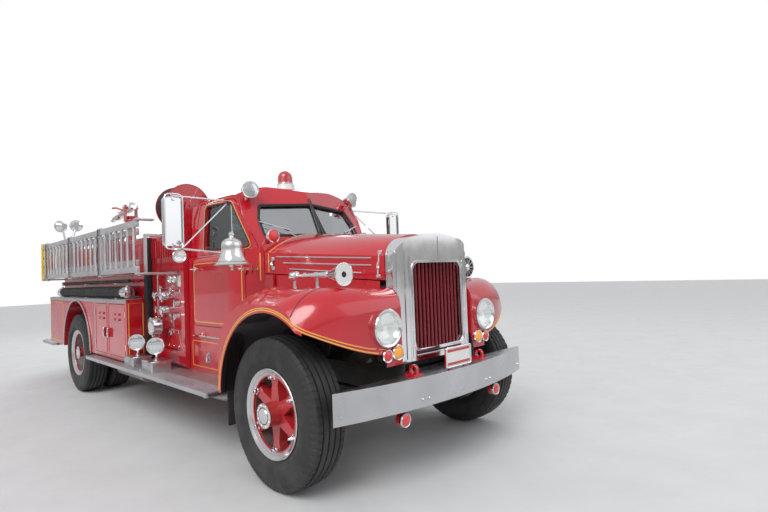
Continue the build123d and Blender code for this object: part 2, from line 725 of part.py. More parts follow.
def cab_form(inset):
    """The cab's closed form, moved inward by a wall thickness."""
    half = cab_half_width - inset
    with BuildPart() as form:
        # Greenhouse: its plan with sides that lean in, the roof's cross section and the side profile
        with BuildSketch(Plane.XY.offset(belt_z - 20)):
            with BuildLine():
                cab_plan(glass_half_width, glass_front_half, front_x - 700, front_x - 1550, inset)
            make_face()
        extrude(amount=roof_z + 20 - belt_z + 20, taper=lean_angle)
        with BuildSketch(Plane.YZ.offset(cab_rear_x - 90)):
            with BuildLine():
                gutter = (half, roof_z - 215)
                shoulder = (cab_half_width - 190 - inset * 0.7, roof_z - 96 - inset * 0.8)
                crown_side = (cab_half_width - 400 - inset * 0.2, roof_z - 34 - inset)
                Line((-half, belt_z - 20), (-gutter[0], gutter[1]))
                ThreePointArc((-gutter[0], gutter[1]), (-shoulder[0], shoulder[1]),
                              (-crown_side[0], crown_side[1]))
                ThreePointArc((-crown_side[0], crown_side[1]), (0, roof_z - inset), crown_side)
                ThreePointArc(crown_side, shoulder, gutter)
                Line(gutter, (half, belt_z - 20))
                Line((half, belt_z - 20), (-half, belt_z - 20))
            make_face()
        extrude(amount=cab_front_x - inset - cab_rear_x + 90, mode=Mode.INTERSECT)
        with BuildSketch(Plane.XZ.offset(-cab_half_width)):
            with BuildLine():
                rear_top = (cab_rear_x + 210, roof_z - 28 - inset)
                front_top = (front_x - 1140, roof_z - 38 - inset)
                brow = (front_x - 1000 - inset, roof_z - 140)
                foot = (front_x - 680 - inset, belt_z - 20)
                Line((cab_rear_x + inset, belt_z - 20), (cab_rear_x + inset, roof_z - 280))
                ThreePointArc((cab_rear_x + inset, roof_z - 280),
                              (cab_rear_x + 45 + inset * 0.8, roof_z - 110 - inset * 0.6), rear_top)
                ThreePointArc(rear_top, (front_x - 1450, roof_z - inset), front_top)
                ThreePointArc(front_top, (front_x - 1062 - inset * 0.6, roof_z - 76 - inset * 0.8), brow)
                Line(brow, foot)
                Line(foot, (cab_rear_x + inset, belt_z - 20))
            make_face()
        extrude(amount=2 * cab_half_width, mode=Mode.INTERSECT)
        for side in (-1, 1):
            split(bisect_by=screen_plane(side, inset), keep=Keep.BOTTOM)
    # Lower body with the cowl's crowned top
    with BuildPart() as lower:
        with BuildSketch(Plane.YZ.offset(cab_rear_x + inset)):
            with BuildLine():
                Line((-half, cab_low + inset), (-half, 1650))
                ThreePointArc((-half, 1650), (-half + 20, 1705), (-half + 80, belt_z))
                ThreePointArc((-half + 80, belt_z), (-half * 0.45, 1838 - inset), (0, 1872 - inset))
                ThreePointArc((0, 1872 - inset), (half * 0.45, 1838 - inset), (half - 80, belt_z))
                ThreePointArc((half - 80, belt_z), (half - 20, 1705), (half, 1650))
                Line((half, 1650), (half, cab_low + inset))
                Line((half, cab_low + inset), (-half, cab_low + inset))
            make_face()
        extrude(amount=cab_front_x - cab_rear_x - 2 * inset)
        with BuildSketch(Plane.XY.offset(cab_low)):
            with BuildLine():
                cab_plan(cab_half_width, cowl_half_width, cab_front_x, front_x - 1150, inset)
            make_face()
        extrude(amount=roof_z - cab_low, mode=Mode.INTERSECT)
    return form.part + lower.part


cab_outer = cab_form(0)
cab_inner = cab_form(cab_wall)
glass_outer = cab_form(cab_wall / 2 - glass_wall / 2)
glass_inner = cab_form(cab_wall / 2 + glass_wall / 2)


def side_outline(points, y_from, y_to):
    """A prism along Y over a closed outline of (x, z) points."""
    with BuildPart() as prism:
        with BuildSketch(Plane.XZ.offset(-y_from)):
            with BuildLine():
                FilletPolyline(*points, radius=45, close=True)
            make_face()
        extrude(amount=y_from - y_to)
    return prism.part


def door_outline(inset):
    """Door's outline, made smaller all round by an inset."""
    rear = inset * door_rear_gap / door_gap
    return [(door_front_x - inset, door_low + inset), (door_front_x - inset, belt_z - 60),
            (door_front_x - 12 - inset, belt_z + 50), (door_front_x - 275 - inset, door_top - inset),
            (door_rear_x + 90 + rear, door_top - inset),
            (door_rear_x + rear, belt_z + 120), (door_rear_x + rear, door_low + inset)]


window_points = [(door_front_x - 75, window_low), (door_front_x - 325, window_top),
                 (door_rear_x + 220, window_top), (door_rear_x + 220, window_low)]
door_depth_y = -600
door_hole = side_outline(door_outline(0), door_depth_y, -900)
door_form = side_outline(door_outline(door_gap), door_depth_y, -900)
window_hole = side_outline(window_points, door_depth_y, -900)

right_pane = screen_plane(-1, 0)
with BuildPart() as screen_hole:
    with BuildSketch(Plane(origin=screen_low, x_dir=screen_low - screen_side, z_dir=right_pane.z_dir)):
        with BuildLine():
            FilletPolyline((-28, 12), (-28, 384), (-570, 376), (-612, 215), (-600, 22), radius=40, close=True)
        make_face()
    extrude(amount=60, both=True)
    mirror(about=Plane.XZ)

with BuildPart() as cab:
    add(cab_outer)
    add(cab_inner, mode=Mode.SUBTRACT)
    add(door_hole, mode=Mode.SUBTRACT)
    add(mirror(door_hole, about=Plane.XZ), mode=Mode.SUBTRACT)
    add(screen_hole.part, mode=Mode.SUBTRACT)
    with BuildSketch(Plane.YZ.offset(cab_rear_x - 120)):
        with Locations((0, 2050)):
            RectangleRounded(760, 260, 60)
    extrude(amount=200, mode=Mode.SUBTRACT)
    # Sills below the doors, down to the running boards
    with BuildSketch(Plane.XY.offset(board_top)):
        for inset, mode in ((0, Mode.ADD), (cab_wall, Mode.SUBTRACT)):
            with BuildLine():
                cab_plan(cab_half_width, cowl_half_width, cab_front_x, front_x - 1150, inset)
            make_face(mode=mode)
        for x_end in (fender_rear_x + 200, cab_rear_x - 200):
            with Locations((x_end, 0)):
                Rectangle(400, 2 * cab_half_width, mode=Mode.SUBTRACT)
    extrude(amount=cab_low + 20 - board_top)
    # Raised pad for the beacon
    with BuildSketch(Plane.XY.offset(roof_z - 20)):
        with Locations((beacon_x, 0)):
            Circle(beacon_radius + 6)
    extrude(amount=20 + beacon_pad)
save(cab, "cab")

with BuildPart() as door:
    add(cab_outer)
    add(cab_inner, mode=Mode.SUBTRACT)
    add(door_form, mode=Mode.INTERSECT)
    add(window_hole, mode=Mode.SUBTRACT)
save_pair(door, "door")

with BuildPart() as door_glass:
    add(glass_outer)
    add(glass_inner, mode=Mode.SUBTRACT)
    add(window_hole, mode=Mode.INTERSECT)
save_pair(door_glass, "door_glass")

with BuildPart() as rear_window:
    with BuildSketch(Plane.YZ.offset(cab_rear_x - 120)):
        with Locations((0, 2050)):
            RectangleRounded(760, 260, 60)
    extrude(amount=200)
with BuildPart() as screens:
    for hole in (screen_hole.part, rear_window.part):
        add((glass_outer - glass_inner) & hole)
save(screens, "windscreen")

# Seat, floor-mounted steering column and wheel, seen through the glass
seat_front_x = cab_rear_x + 590
seat_half_width = 700
with BuildPart() as seat:
    with BuildSketch(Plane.XZ.offset(-seat_half_width)):
        with BuildLine():
            FilletPolyline((seat_front_x, cab_low + cab_wall), (seat_front_x + 30, 1420),
                           (seat_front_x - 360, 1400), (seat_front_x - 440, 1850),
                           (seat_front_x - 530, 1850), (seat_front_x - 530, cab_low + cab_wall),
                           radius=30, close=True)
        make_face()
    extrude(amount=2 * seat_half_width)
save(seat, "seat")

column_foot = Vector(front_x - 950, 380, cab_low + cab_wall)
column_head = Vector(front_x - 1270, 380, 1660)
column_line = column_head - column_foot
with BuildPart() as steering:
    with BuildSketch(Plane(origin=column_foot, z_dir=column_line)):
        Circle(24)
    extrude(amount=column_line.length)
    with BuildSketch(Plane(origin=column_head, z_dir=column_line)) as hub_face:
        Circle(45)
    extrude(amount=26)
    with BuildSketch(Plane(origin=column_head + column_line.normalized() * 6, z_dir=column_line)):
        Circle(228)
        Circle(206, mode=Mode.SUBTRACT)
        with PolarLocations(0, 3):
            with Locations((120, 0)):
                Rectangle(190, 22)
    extrude(amount=18)
    # The column's foot is cut level with the floor
    with BuildSketch(Plane.XY.offset(cab_low)):
        with Locations((column_foot.X, column_foot.Y)):
            Rectangle(200, 200)
    extrude(amount=cab_wall, mode=Mode.SUBTRACT)
save(steering, "steering_wheel")

# Pump house: a closed housing with a recessed panel on each side, and the reel's stand on top
reel_y = -640
reel_z = 2310
reel_front_x = front_x - 2390
reel_width = 300
reel_radius = 245
shaft_radius = 16
panel_recess = 45
with BuildPart() as pump_house:
    with BuildSketch(Plane.YZ.offset(pump_rear_x)):
        with BuildLine():
            FilletPolyline((-pump_half_width, pump_low), (-pump_half_width, pump_top),
                           (pump_half_width, pump_top), (pump_half_width, pump_low),
                           radius=60, close=True)
        make_face()
    extrude(amount=pump_front_x - pump_rear_x)
    # Side panels, and room for the frame rails and the shaft below
    with BuildSketch(Plane.XZ.offset(pump_half_width - panel_recess)):
        with Locations(((pump_front_x + pump_rear_x) / 2 + 20, (pump_low + pump_top) / 2 - 130)):
            RectangleRounded(pump_front_x - pump_rear_x - 190, 840, 70)
    extrude(amount=panel_recess + 10, mode=Mode.SUBTRACT)
    with BuildSketch(Plane.XZ.offset(-pump_half_width - 10)):
        with Locations(((pump_front_x + pump_rear_x) / 2 + 20, (pump_low + pump_top) / 2 - 130)):
            RectangleRounded(pump_front_x - pump_rear_x - 190, 840, 70)
    extrude(amount=panel_recess + 10, mode=Mode.SUBTRACT)
    with BuildSketch(Plane.YZ.offset(pump_rear_x)):
        with Locations((0, (pump_low + rail_top) / 2)):
            Rectangle(2 * rail_outer_y + 20, rail_top - pump_low)
    extrude(amount=pump_front_x - pump_rear_x, mode=Mode.SUBTRACT)
    # Upright ribs on the upper sides
    with BuildSketch(Plane.XY.offset(1740)):
        for i in range(12):
            rib_x = pump_rear_x + 110 + i * (pump_front_x - pump_rear_x - 220) / 11
            with Locations((rib_x, -pump_half_width - 4), (rib_x, pump_half_width + 4)):
                Rectangle(24, 16)
    extrude(amount=180)
    for x in (reel_front_x + 20, reel_front_x - reel_width - 44):
        with BuildSketch(Plane.YZ.offset(x)):
            with BuildLine():
                Polyline((reel_y - 120, pump_top - 5), (reel_y + 120, pump_top - 5), (reel_y + 40, reel_z + 40),
                         (reel_y - 40, reel_z + 40), close=True)
            make_face()
            with Locations((reel_y, reel_z)):
                Circle(shaft_radius + 1, mode=Mode.SUBTRACT)
        extrude(amount=24)
    # Upright guard bars at the rear edges of the panels
    with BuildSketch(Plane.XY.offset(board_top)):
        with Locations((pump_rear_x + 45, -pump_half_width - 25), (pump_rear_x + 45, pump_half_width + 25)):
            RectangleRounded(80, 70, 12)
    extrude(amount=1980 - board_top)
save(pump_house, "pump_house")

# Pump fittings: large suction cap, discharge caps and gauges on each side
# Columns: x behind the front axle, height, radius, length, step radius
panel_y = pump_half_width - panel_recess
fitting_table = (
    (2480, 1010, 105, 190, 70),
    (2300, 1330, 52, 150, 36),
    (2300, 1180, 52, 150, 36),
    (2560, 1330, 44, 120, 30),
    (2115, 1480, 62, 26, 50),
    (2245, 1500, 40, 26, 32),
    (2355, 1500, 40, 26, 32),
    (2080, 1250, 30, 90, 18),
    (2080, 1120, 30, 90, 18),
)
with BuildPart() as fittings:
    for back, height, radius, length, neck in fitting_table:
        with BuildSketch(Plane.XZ.offset(panel_y)):
            with Locations((front_x - back, height)):
                Circle(neck)
        extrude(amount=length)
        with BuildSketch(Plane.XZ.offset(panel_y + length * 0.55)):
            with Locations((front_x - back, height)):
                Circle(radius)
        extrude(amount=length * 0.45, taper=8)
    mirror(about=Plane.XZ)
save(fittings, "pump_fittings")

# Rear body: a middle deck over the frame rails, and locker bodies and wheel housings on either side
arch_gap_y = 540
channel_half = 560
locker_inner_y = 640
locker_rear_wall = 60
bead_seat = 20
bead_reach = 10
clear_of_body = 50
gun_x = front_x - 3800
gun_y = -780
gun_base_top = 2240
gun_pivot_z = 2450
with BuildPart() as body:
    with BuildSketch(Plane.YZ.offset(body_rear_x)):
        with BuildLine():
            FilletPolyline((-body_half_width, body_low), (-body_half_width, locker_top),
                           (body_half_width, locker_top), (body_half_width, body_low),
                           radius=24, close=True)
        make_face()
    extrude(amount=body_front_x - body_rear_x)
    # Room for the frame, the axle and the inner wheels
    with BuildSketch(Plane.YZ.offset(body_rear_x - 10)):
        with Locations((0, (body_low - 20 + rail_top) / 2)):
            Rectangle(2 * channel_half, rail_top - body_low + 20)
    extrude(amount=body_front_x - body_rear_x + 20, mode=Mode.SUBTRACT)
    for side in (-1, 1):
        with BuildSketch(Plane.XZ.offset(side * arch_gap_y)):
            with Locations((rear_x + 20, rear_arch_z)):
                Circle(rear_arch_radius)
        extrude(amount=side * 700, mode=Mode.SUBTRACT)
        # Bead round the wheel arch
        with BuildSketch(Plane.XZ.offset(side * (body_half_width - bead_seat))):
            with Locations((rear_x + 20, rear_arch_z)):
                Circle(rear_arch_radius + 22)
                Circle(rear_arch_radius, mode=Mode.SUBTRACT)
            with Locations((rear_x + 20, body_low - rear_arch_radius)):
                Rectangle(3 * rear_arch_radius, 2 * rear_arch_radius, mode=Mode.SUBTRACT)
        extrude(amount=side * (bead_seat + bead_reach))
    # Locker spaces behind the doors
    for side in (-1, 1):
        for x_from, x_to in ((body_front_x - 40, locker_split_x + 15), (locker_split_x - 15, locker_rear_x)):
            with BuildSketch(Plane.XZ.offset(side * locker_inner_y)):
                with Locations(((x_from + x_to) / 2, (locker_door_low + locker_door_top) / 2)):
                    Rectangle(x_from - x_to, locker_door_top - locker_door_low)
            extrude(amount=side * 700, mode=Mode.SUBTRACT)


def body_panel(x_from, x_to, y_from, y_to):
    """The rear body between two stations and two distances from the middle."""
    with BuildPart() as panel:
        add(body.part)
        with BuildSketch(Plane.XY.offset(body_low - clear_of_body)):
            with Locations(((x_from + x_to) / 2, (y_from + y_to) / 2)):
                Rectangle(x_to - x_from, y_to - y_from)
        extrude(amount=locker_top - body_low + 2 * clear_of_body, mode=Mode.INTERSECT)
    return panel


housing_front_x = locker_rear_x - locker_rear_wall
save(body_panel(body_rear_x - clear_of_body, body_front_x + clear_of_body, -arch_gap_y, arch_gap_y), "rear_body")
for label, x_from, x_to in (("locker_bodies", housing_front_x, body_front_x + clear_of_body),
                            ("wheel_housings", body_rear_x - clear_of_body, housing_front_x)):
    with BuildPart() as pair:
        add(body_panel(x_from, x_to, -body_half_width - clear_of_body, -arch_gap_y).part)
        mirror(about=Plane.XZ)
    save(pair, label)

# Hose bed on the rear body, open at the top and the rear, with the deck gun's pedestal on its edge
bed_floor = 24
with BuildPart() as bed:
    with BuildSketch(Plane.YZ.offset(body_rear_x)):
        with Locations((0, (locker_top + bed_top) / 2)):
            Rectangle(2 * bed_half_width, bed_top - locker_top)
    extrude(amount=body_front_x - body_rear_x)
    with BuildSketch(Plane.YZ.offset(body_rear_x - 10)):
        with Locations((0, bed_floor + bed_top / 2 + locker_top / 2)):
            Rectangle(2 * (bed_half_width - body_wall), bed_top - locker_top)
    extrude(amount=body_front_x - body_rear_x + 10 - body_wall, mode=Mode.SUBTRACT)
    with BuildSketch(Plane.XY.offset(bed_top - 4)):
        with Locations((gun_x, gun_y - 30)):
            RectangleRounded(260, 320, 20)
    extrude(amount=24)
    with BuildSketch(Plane.XY.offset(bed_top + 16)):
        with Locations((gun_x, gun_y)):
            Circle(62)
    extrude(amount=gun_base_top - bed_top - 16, taper=3)
save(bed, "hose_bed")

# Locker doors
door_table = (("front", body_front_x - 40, locker_split_x + 15), ("rear", locker_split_x - 15, locker_rear_x))
for place, x_from, x_to in door_table:
    # The hinge is at the outer end of each pair
    x_from = x_from - (seat_gap if place == "front" else door_gap)
    x_to = x_to + (seat_gap if place == "rear" else door_gap)
    with BuildPart() as locker_door:
        with BuildSketch(Plane.XZ.offset(body_half_width - locker_door_wall)):
            with Locations(((x_from + x_to) / 2, (locker_door_low + locker_door_top) / 2)):
                Rectangle(x_from - x_to, locker_door_top - locker_door_low - 2 * door_gap)
        extrude(amount=locker_door_wall)
        with BuildSketch(Plane.XZ.offset(body_half_width)):
            for row in range(2):
                for column in (-1, 1):
                    with Locations(((x_from + x_to) / 2 + column * 70, locker_door_top - 120 - row * 60)):
                        SlotOverall(100, 22)
        extrude(amount=10)
        with BuildSketch(Plane.XZ.offset(body_half_width)):
            handle_x = locker_split_x + 75 if place == "front" else locker_split_x - 75
            with Locations((handle_x, locker_door_low + 260)):
                SlotOverall(110, 26, rotation=90)
        extrude(amount=28)
    save_pair(locker_door, f"locker_door_{place}")

# Running boards with the equipment boxes on them
box_height = 96
box_top = board_top + box_height
box_y = -1090
box_stations = (front_x - 2220, body_front_x + 145)
with BuildPart() as boards:
    board_middle = (board_inner_y + board_outer_y) / 2
    with BuildSketch(Plane.XY.offset(board_top - board_wall)):
        with Locations(((board_front_x + board_rear_x) / 2, -board_middle)):
            Rectangle(board_front_x - board_rear_x, board_outer_y - board_inner_y)
    extrude(amount=board_wall)
    for bracket_x in (front_x - 1000, front_x - 2000, front_x - 3000, front_x - 3900):
        with BuildSketch(Plane.YZ.offset(bracket_x)):
            with BuildLine():
                Polyline((-rail_outer_y + rail_flange, rail_low), (-rail_outer_y, rail_low),
                         (-rail_outer_y - 10, board_top - 6), (-board_inner_y, board_top - 6),
                         (-board_inner_y, board_top - board_wall), (-board_outer_y + 70, board_top - board_wall),
                         (-board_outer_y + 70, 500), (-560, 470), (-rail_outer_y + rail_flange, 560), close=True)
            make_face()
        extrude(amount=34)
    # Equipment boxes
    for x in box_stations:
        with BuildSketch(Plane.XY.offset(board_top)):
            with Locations((x, box_y)):
                RectangleRounded(260, 200, 20)
        extrude(amount=box_height)
    mirror(about=Plane.XZ)
save(boards, "running_boards")

# Tailboard and its grab rails
grab_x = body_rear_x - 70
with BuildPart() as tailboard:
    with BuildSketch(Plane.XY.offset(tail_top - board_wall)):
        with Locations(((body_rear_x + tail_x) / 2, 0)):
            RectangleRounded(body_rear_x - tail_x, 2 * tail_half_width, 60)
    extrude(amount=board_wall)
    for y in (-390, 390):
        with BuildSketch(Plane.XY.offset(tail_top - board_wall - 70)):
            with Locations(((body_rear_x + tail_x) / 2 + 150, y)):
                Rectangle(body_rear_x - tail_x - 120 + 300, 70)
        extrude(amount=70)
    for y in (-390, 390):
        with BuildSketch(Plane.XY.offset(tail_top - board_wall)):
            with Locations((rail_rear_x + 120, y)):
                Rectangle(80, 70)
        extrude(amount=rail_low - tail_top + board_wall)
    # Grab rails up the body's rear corners
    for y in (-1020, 1020):
        with BuildLine():
            FilletPolyline((body_rear_x, y, 700), (grab_x, y, 700), (grab_x, y, 1220), (body_rear_x, y, 1220),
                           radius=45)
        with BuildSketch(Plane(origin=(body_rear_x, y, 700), z_dir=(-1, 0, 0))):
            Circle(17)
        sweep()
save(tailboard, "tailboard")

# Ladders on edge: an outer one and a shorter one nested inside it
# Columns: name, front end, rear end, outer face, low edge, high edge
ladder_table = (
    (ladder_front_x, ladder_rear_x, ladder_outer_y, ladder_low, ladder_top),
    (ladder_front_x - 130, ladder_rear_x + 150, ladder_outer_y - 46, ladder_low + 70, ladder_top - 70),
)
with BuildPart() as ladders:
    for front_end, rear_end, outer, low, high in ladder_table:
        length = front_end - rear_end
        for z in (low + ladder_rail_height / 2, high - ladder_rail_height / 2):
            with BuildSketch(Plane.YZ.offset(rear_end)):
                with Locations((-outer + ladder_rail_depth / 2, z)):
                    Rectangle(ladder_rail_depth, ladder_rail_height)
            extrude(amount=length)
        with BuildSketch(Plane.XY.offset(low + ladder_rail_height / 2)):
            for i in range(rung_count):
                rung_x = rear_end + 90 + i * (length - 180) / (rung_count - 1)
                with Locations((rung_x, -outer + ladder_rail_depth / 2)):
                    RegularPolygon(rung_radius, 8)
        extrude(amount=high - low - ladder_rail_height)
save(ladders, "ladders")

# Ladder rack: arms from the body and the pump house to each rail, and the rear end board
rack_stations = (ladder_front_x + 20, body_front_x - 410, body_rear_x + 1780, body_rear_x + 480)
with BuildPart() as rack:
    inner_face = ladder_outer_y - 46 - ladder_rail_depth
    for x in rack_stations:
        wall_y = pump_half_width if x > pump_rear_x else bed_half_width
        for z, reach in ((ladder_low - 12, ladder_outer_y), (ladder_top - 150, inner_face)):
            with BuildSketch(Plane.XZ.offset(wall_y)):
                with Locations((x, z)):
                    Rectangle(60, 24)
            extrude(amount=reach - wall_y)
        with BuildSketch(Plane.XY.offset(ladder_low - 10)):
            with Locations((x, -inner_face + 6)):
                Rectangle(60, 12)
        extrude(amount=ladder_top - ladder_low - 130)
    # Shelves below the suction hoses and the pole, on the bed's walls
    for x in (body_front_x - 410, body_rear_x + 1880, body_rear_x + 680):
        for y, z, low in ((1040, 1560 - 75, 15), (1040, 1780 - 75, 15), (-1075, 1500 - 20, 15)):
            side = -1 if y > 0 else 1
            with BuildSketch(Plane.XZ.offset(side * bed_half_width)):
                with Locations((x, z - low / 2)):
                    Rectangle(50, low)
            extrude(amount=side * (abs(y) + 60 - bed_half_width))
        with BuildSketch(Plane.XY.offset(locker_top)):
            with Locations((x, -1090)):
                Rectangle(50, 90)
        extrude(amount=1370 - 62 - locker_top)
    with BuildSketch(Plane.XY.offset(ladder_low - 20)):
        with Locations((ladder_rear_x - 12, -ladder_outer_y + 45)):
            Rectangle(24, 110)
    extrude(amount=ladder_top - ladder_low + 40)
save(rack, "ladder_rack")

# Hard suction hoses and a pike pole in a rack: below the ladders, and two on the left
with BuildPart() as hoses:
    for y, z, radius in ((-1090, 1370, 62), (-1075, 1500, 20), (1040, 1560, 75), (1040, 1780, 75)):
        with BuildSketch(Plane.YZ.offset(body_rear_x + 480)):
            with Locations((y, z)):
                Circle(radius)
        extrude(amount=body_front_x - 110 - body_rear_x - 480)
save(hoses, "suction_hoses")

# Booster reel: a drum between two flanges, above the right-hand pump panel
with BuildPart() as reel:
    with BuildSketch(Plane.YZ.offset(reel_front_x - reel_width - 60)):
        with Locations((reel_y, reel_z)):
            Circle(shaft_radius)
    extrude(amount=reel_width + 120)
    with BuildSketch(Plane.YZ.offset(reel_front_x - reel_width + 6)):
        with Locations((reel_y, reel_z)):
            Circle(reel_radius * 0.82)
    extrude(amount=reel_width - 12)
    for x in (reel_front_x, reel_front_x - reel_width):
        with BuildSketch(Plane.YZ.offset(x - 6)):
            with Locations((reel_y, reel_z)):
                Circle(reel_radius)
        extrude(amount=12)
save(reel, "hose_reel")

# Deck gun: a turret that pans on the body's pedestal and a barrel that tilts
with BuildPart() as turret:
    with BuildSketch(Plane.XY.offset(gun_base_top + seat_gap)):
        with Locations((gun_x, gun_y)):
            Circle(70)
    extrude(amount=45)
    with BuildSketch(Plane.XY.offset(gun_base_top + 46)):
        with Locations((gun_x, gun_y)):
            Circle(44)
    extrude(amount=50)
    for side in (-1, 1):
        with BuildSketch(Plane.XZ.offset(-gun_y + side * 66)):
            with BuildLine():
                Line((gun_x - 46, gun_base_top + 46), (gun_x + 46, gun_base_top + 46))
                Line((gun_x + 46, gun_base_top + 46), (gun_x + 34, gun_pivot_z))
                ThreePointArc((gun_x + 34, gun_pivot_z), (gun_x, gun_pivot_z + 34), (gun_x - 34, gun_pivot_z))
                Line((gun_x - 34, gun_pivot_z), (gun_x - 46, gun_base_top + 46))
            make_face()
            with Locations((gun_x, gun_pivot_z)):
                Circle(15, mode=Mode.SUBTRACT)
        extrude(amount=7, both=True)
    with BuildSketch(Plane.XY.offset(gun_base_top + 30)):
        with Locations((gun_x, gun_y)):
            Rectangle(92, 146)
    extrude(amount=16)
save(turret, "monitor_turret")

# The barrel points to the rear and a little down, as it is stowed
gun_length = 700
gun_drop = 8
gun_pivot = Vector(gun_x, gun_y, gun_pivot_z)
gun_line = Vector(-cos(radians(gun_drop)), 0, -sin(radians(gun_drop)))
# Columns: start and end along the barrel, start radius, end radius
barrel_table = ((-70, 60, 52, 50), (60, 430, 50, 34), (430, 510, 46, 46), (510, gun_length, 40, 26))
with BuildPart() as barrel:
    for start, end, radius_from, radius_to in barrel_table:
        with BuildSketch(Plane(origin=gun_pivot + gun_line * start, z_dir=gun_line)):
            Circle(radius_from)
        with BuildSketch(Plane(origin=gun_pivot + gun_line * end, z_dir=gun_line)):
            Circle(radius_to)
        loft()
    with BuildSketch(Plane.XZ.offset(-gun_y - 82)):
        with Locations((gun_x, gun_pivot_z)):
            Circle(14)
    extrude(amount=164)
save(barrel, "monitor_barrel")

# Roof beacon: a base and a dome
beacon_low = roof_z + beacon_pad
dome_radius = 78
with BuildPart() as beacon:
    with BuildSketch(Plane.XZ):
        with BuildLine():
            Line((beacon_x, beacon_low), (beacon_x + beacon_radius, beacon_low))
            Line((beacon_x + beacon_radius, beacon_low), (beacon_x + 96, beacon_low + 60))
            Line((beacon_x + 96, beacon_low + 60), (beacon_x + 82, beacon_low + 66))
            Line((beacon_x + 82, beacon_low + 66), (beacon_x + dome_radius, beacon_low + 136))
            ThreePointArc((beacon_x + dome_radius, beacon_low + 136),
                          (beacon_x + dome_radius * cos(radians(45)),
                           beacon_low + 136 + dome_radius * sin(radians(45))),
                          (beacon_x, beacon_low + 136 + dome_radius))
            Line((beacon_x, beacon_low + 136 + dome_radius), (beacon_x, beacon_low))
        make_face()
    revolve(axis=Axis((beacon_x, 0, 0), (0, 0, 1)))
save(beacon, "beacon")


def lamp_body(centre, direction, radius, depth, stem_end, stem_radius):
    """A round lamp with a bowl behind its face, on a straight stem."""
    facing = Vector(*direction).normalized()
    middle = Vector(*centre)
    foot = Vector(*stem_end)
    with BuildPart() as lamp:
        with BuildSketch(Plane(origin=middle, z_dir=facing)):
            Circle(radius)
        extrude(amount=depth * 0.3)
        with BuildSketch(Plane(origin=middle, z_dir=-facing)):
            Circle(radius)
        extrude(amount=depth * 0.7, taper=28)
        with BuildSketch(Plane(origin=middle - facing * depth * 0.2, z_dir=foot - middle)):
            Circle(stem_radius)
        extrude(amount=(foot - middle).length)
    return lamp.part


# Cowl lamps, spot lamps at the roof's corners and lamps on posts at the rear corners
# Columns: centre, facing, radius, depth, stem's foot, stem radius
lamp_table = (
    ((front_x - 855, -560, 1855), (1, 0, 0), 62, 90, (front_x - 865, -560, 1760), 12),
    ((front_x - 1100, -630, 2303), (1, -0.3, 0), 78, 110, (front_x - 1175, -640, 2200), 13),
    ((body_rear_x + 120, -1010, 2420), (-1, -0.3, 0), 90, 120, (body_rear_x + 120, -930, bed_top - 5), 16),
    ((body_rear_x + 120, -800, 2440), (-1, 0.2, 0), 90, 120, (body_rear_x + 120, -925, bed_top - 5), 16),
    ((box_stations[0], box_y, 830), (1, -0.6, 0), 84, 120, (box_stations[0], box_y, box_top), 14),
    ((box_stations[1], box_y, 830), (1, -0.6, 0), 84, 120, (box_stations[1], box_y, box_top), 14),
)
with BuildPart() as lamps:
    for row in lamp_table:
        add(lamp_body(*row))
    add(cab_outer, mode=Mode.SUBTRACT)
    add(bed.part, mode=Mode.SUBTRACT)
    # Tail lamps on the body's rear face
    for y, z, radius in ((-900, 1180, 52), (-900, 1050, 42)):
        with BuildSketch(Plane.YZ.offset(body_rear_x)):
            with Locations((y, z)):
                Circle(radius)
        extrude(amount=-38, taper=6)
    mirror(about=Plane.XZ)
save(lamps, "lamps")

# Bell on a bracket, on the right-hand side of the cowl
bell_x = front_x - 632
bell_y = -1080
bell_low = 1590
with BuildPart() as bell:
    with BuildSketch(Plane.XZ.offset(-bell_y)):
        with BuildLine():
            Line((bell_x + 126, bell_low), (bell_x + 140, bell_low + 4))
            ThreePointArc((bell_x + 140, bell_low + 4), (bell_x + 96, bell_low + 66), (bell_x + 82, bell_low + 150))
            ThreePointArc((bell_x + 82, bell_low + 150), (bell_x + 68, bell_low + 196), (bell_x, bell_low + 212))
            Line((bell_x, bell_low + 212), (bell_x, bell_low + 198))
            ThreePointArc((bell_x, bell_low + 198), (bell_x + 57, bell_low + 184), (bell_x + 70, bell_low + 148))
            ThreePointArc((bell_x + 70, bell_low + 148), (bell_x + 84, bell_low + 60), (bell_x + 126, bell_low))
        make_face()
    revolve(axis=Axis((bell_x, bell_y, 0), (0, 0, 1)))
    with BuildSketch(Plane.XY.offset(bell_low - 40)):
        with Locations((bell_x, bell_y)):
            Circle(14)
    extrude(amount=310)
    bracket_foot = Vector(cab_front_x - 70, -cowl_half_width, bell_low - 28)
    bracket_line = Vector(bell_x, bell_y, bell_low - 28) - bracket_foot
    with BuildSketch(Plane(origin=bracket_foot, z_dir=bracket_line)):
        Rectangle(24, 24)
    extrude(amount=bracket_line.length)
    add(cab_outer, mode=Mode.SUBTRACT)
save(bell, "bell")

# Air horn on the right-hand fender, and a siren on the left one
horn_y = 820
horn_z = 1485
horn_rear_x = front_x - 180
siren_front_x = front_x + 290
siren_z = 1505
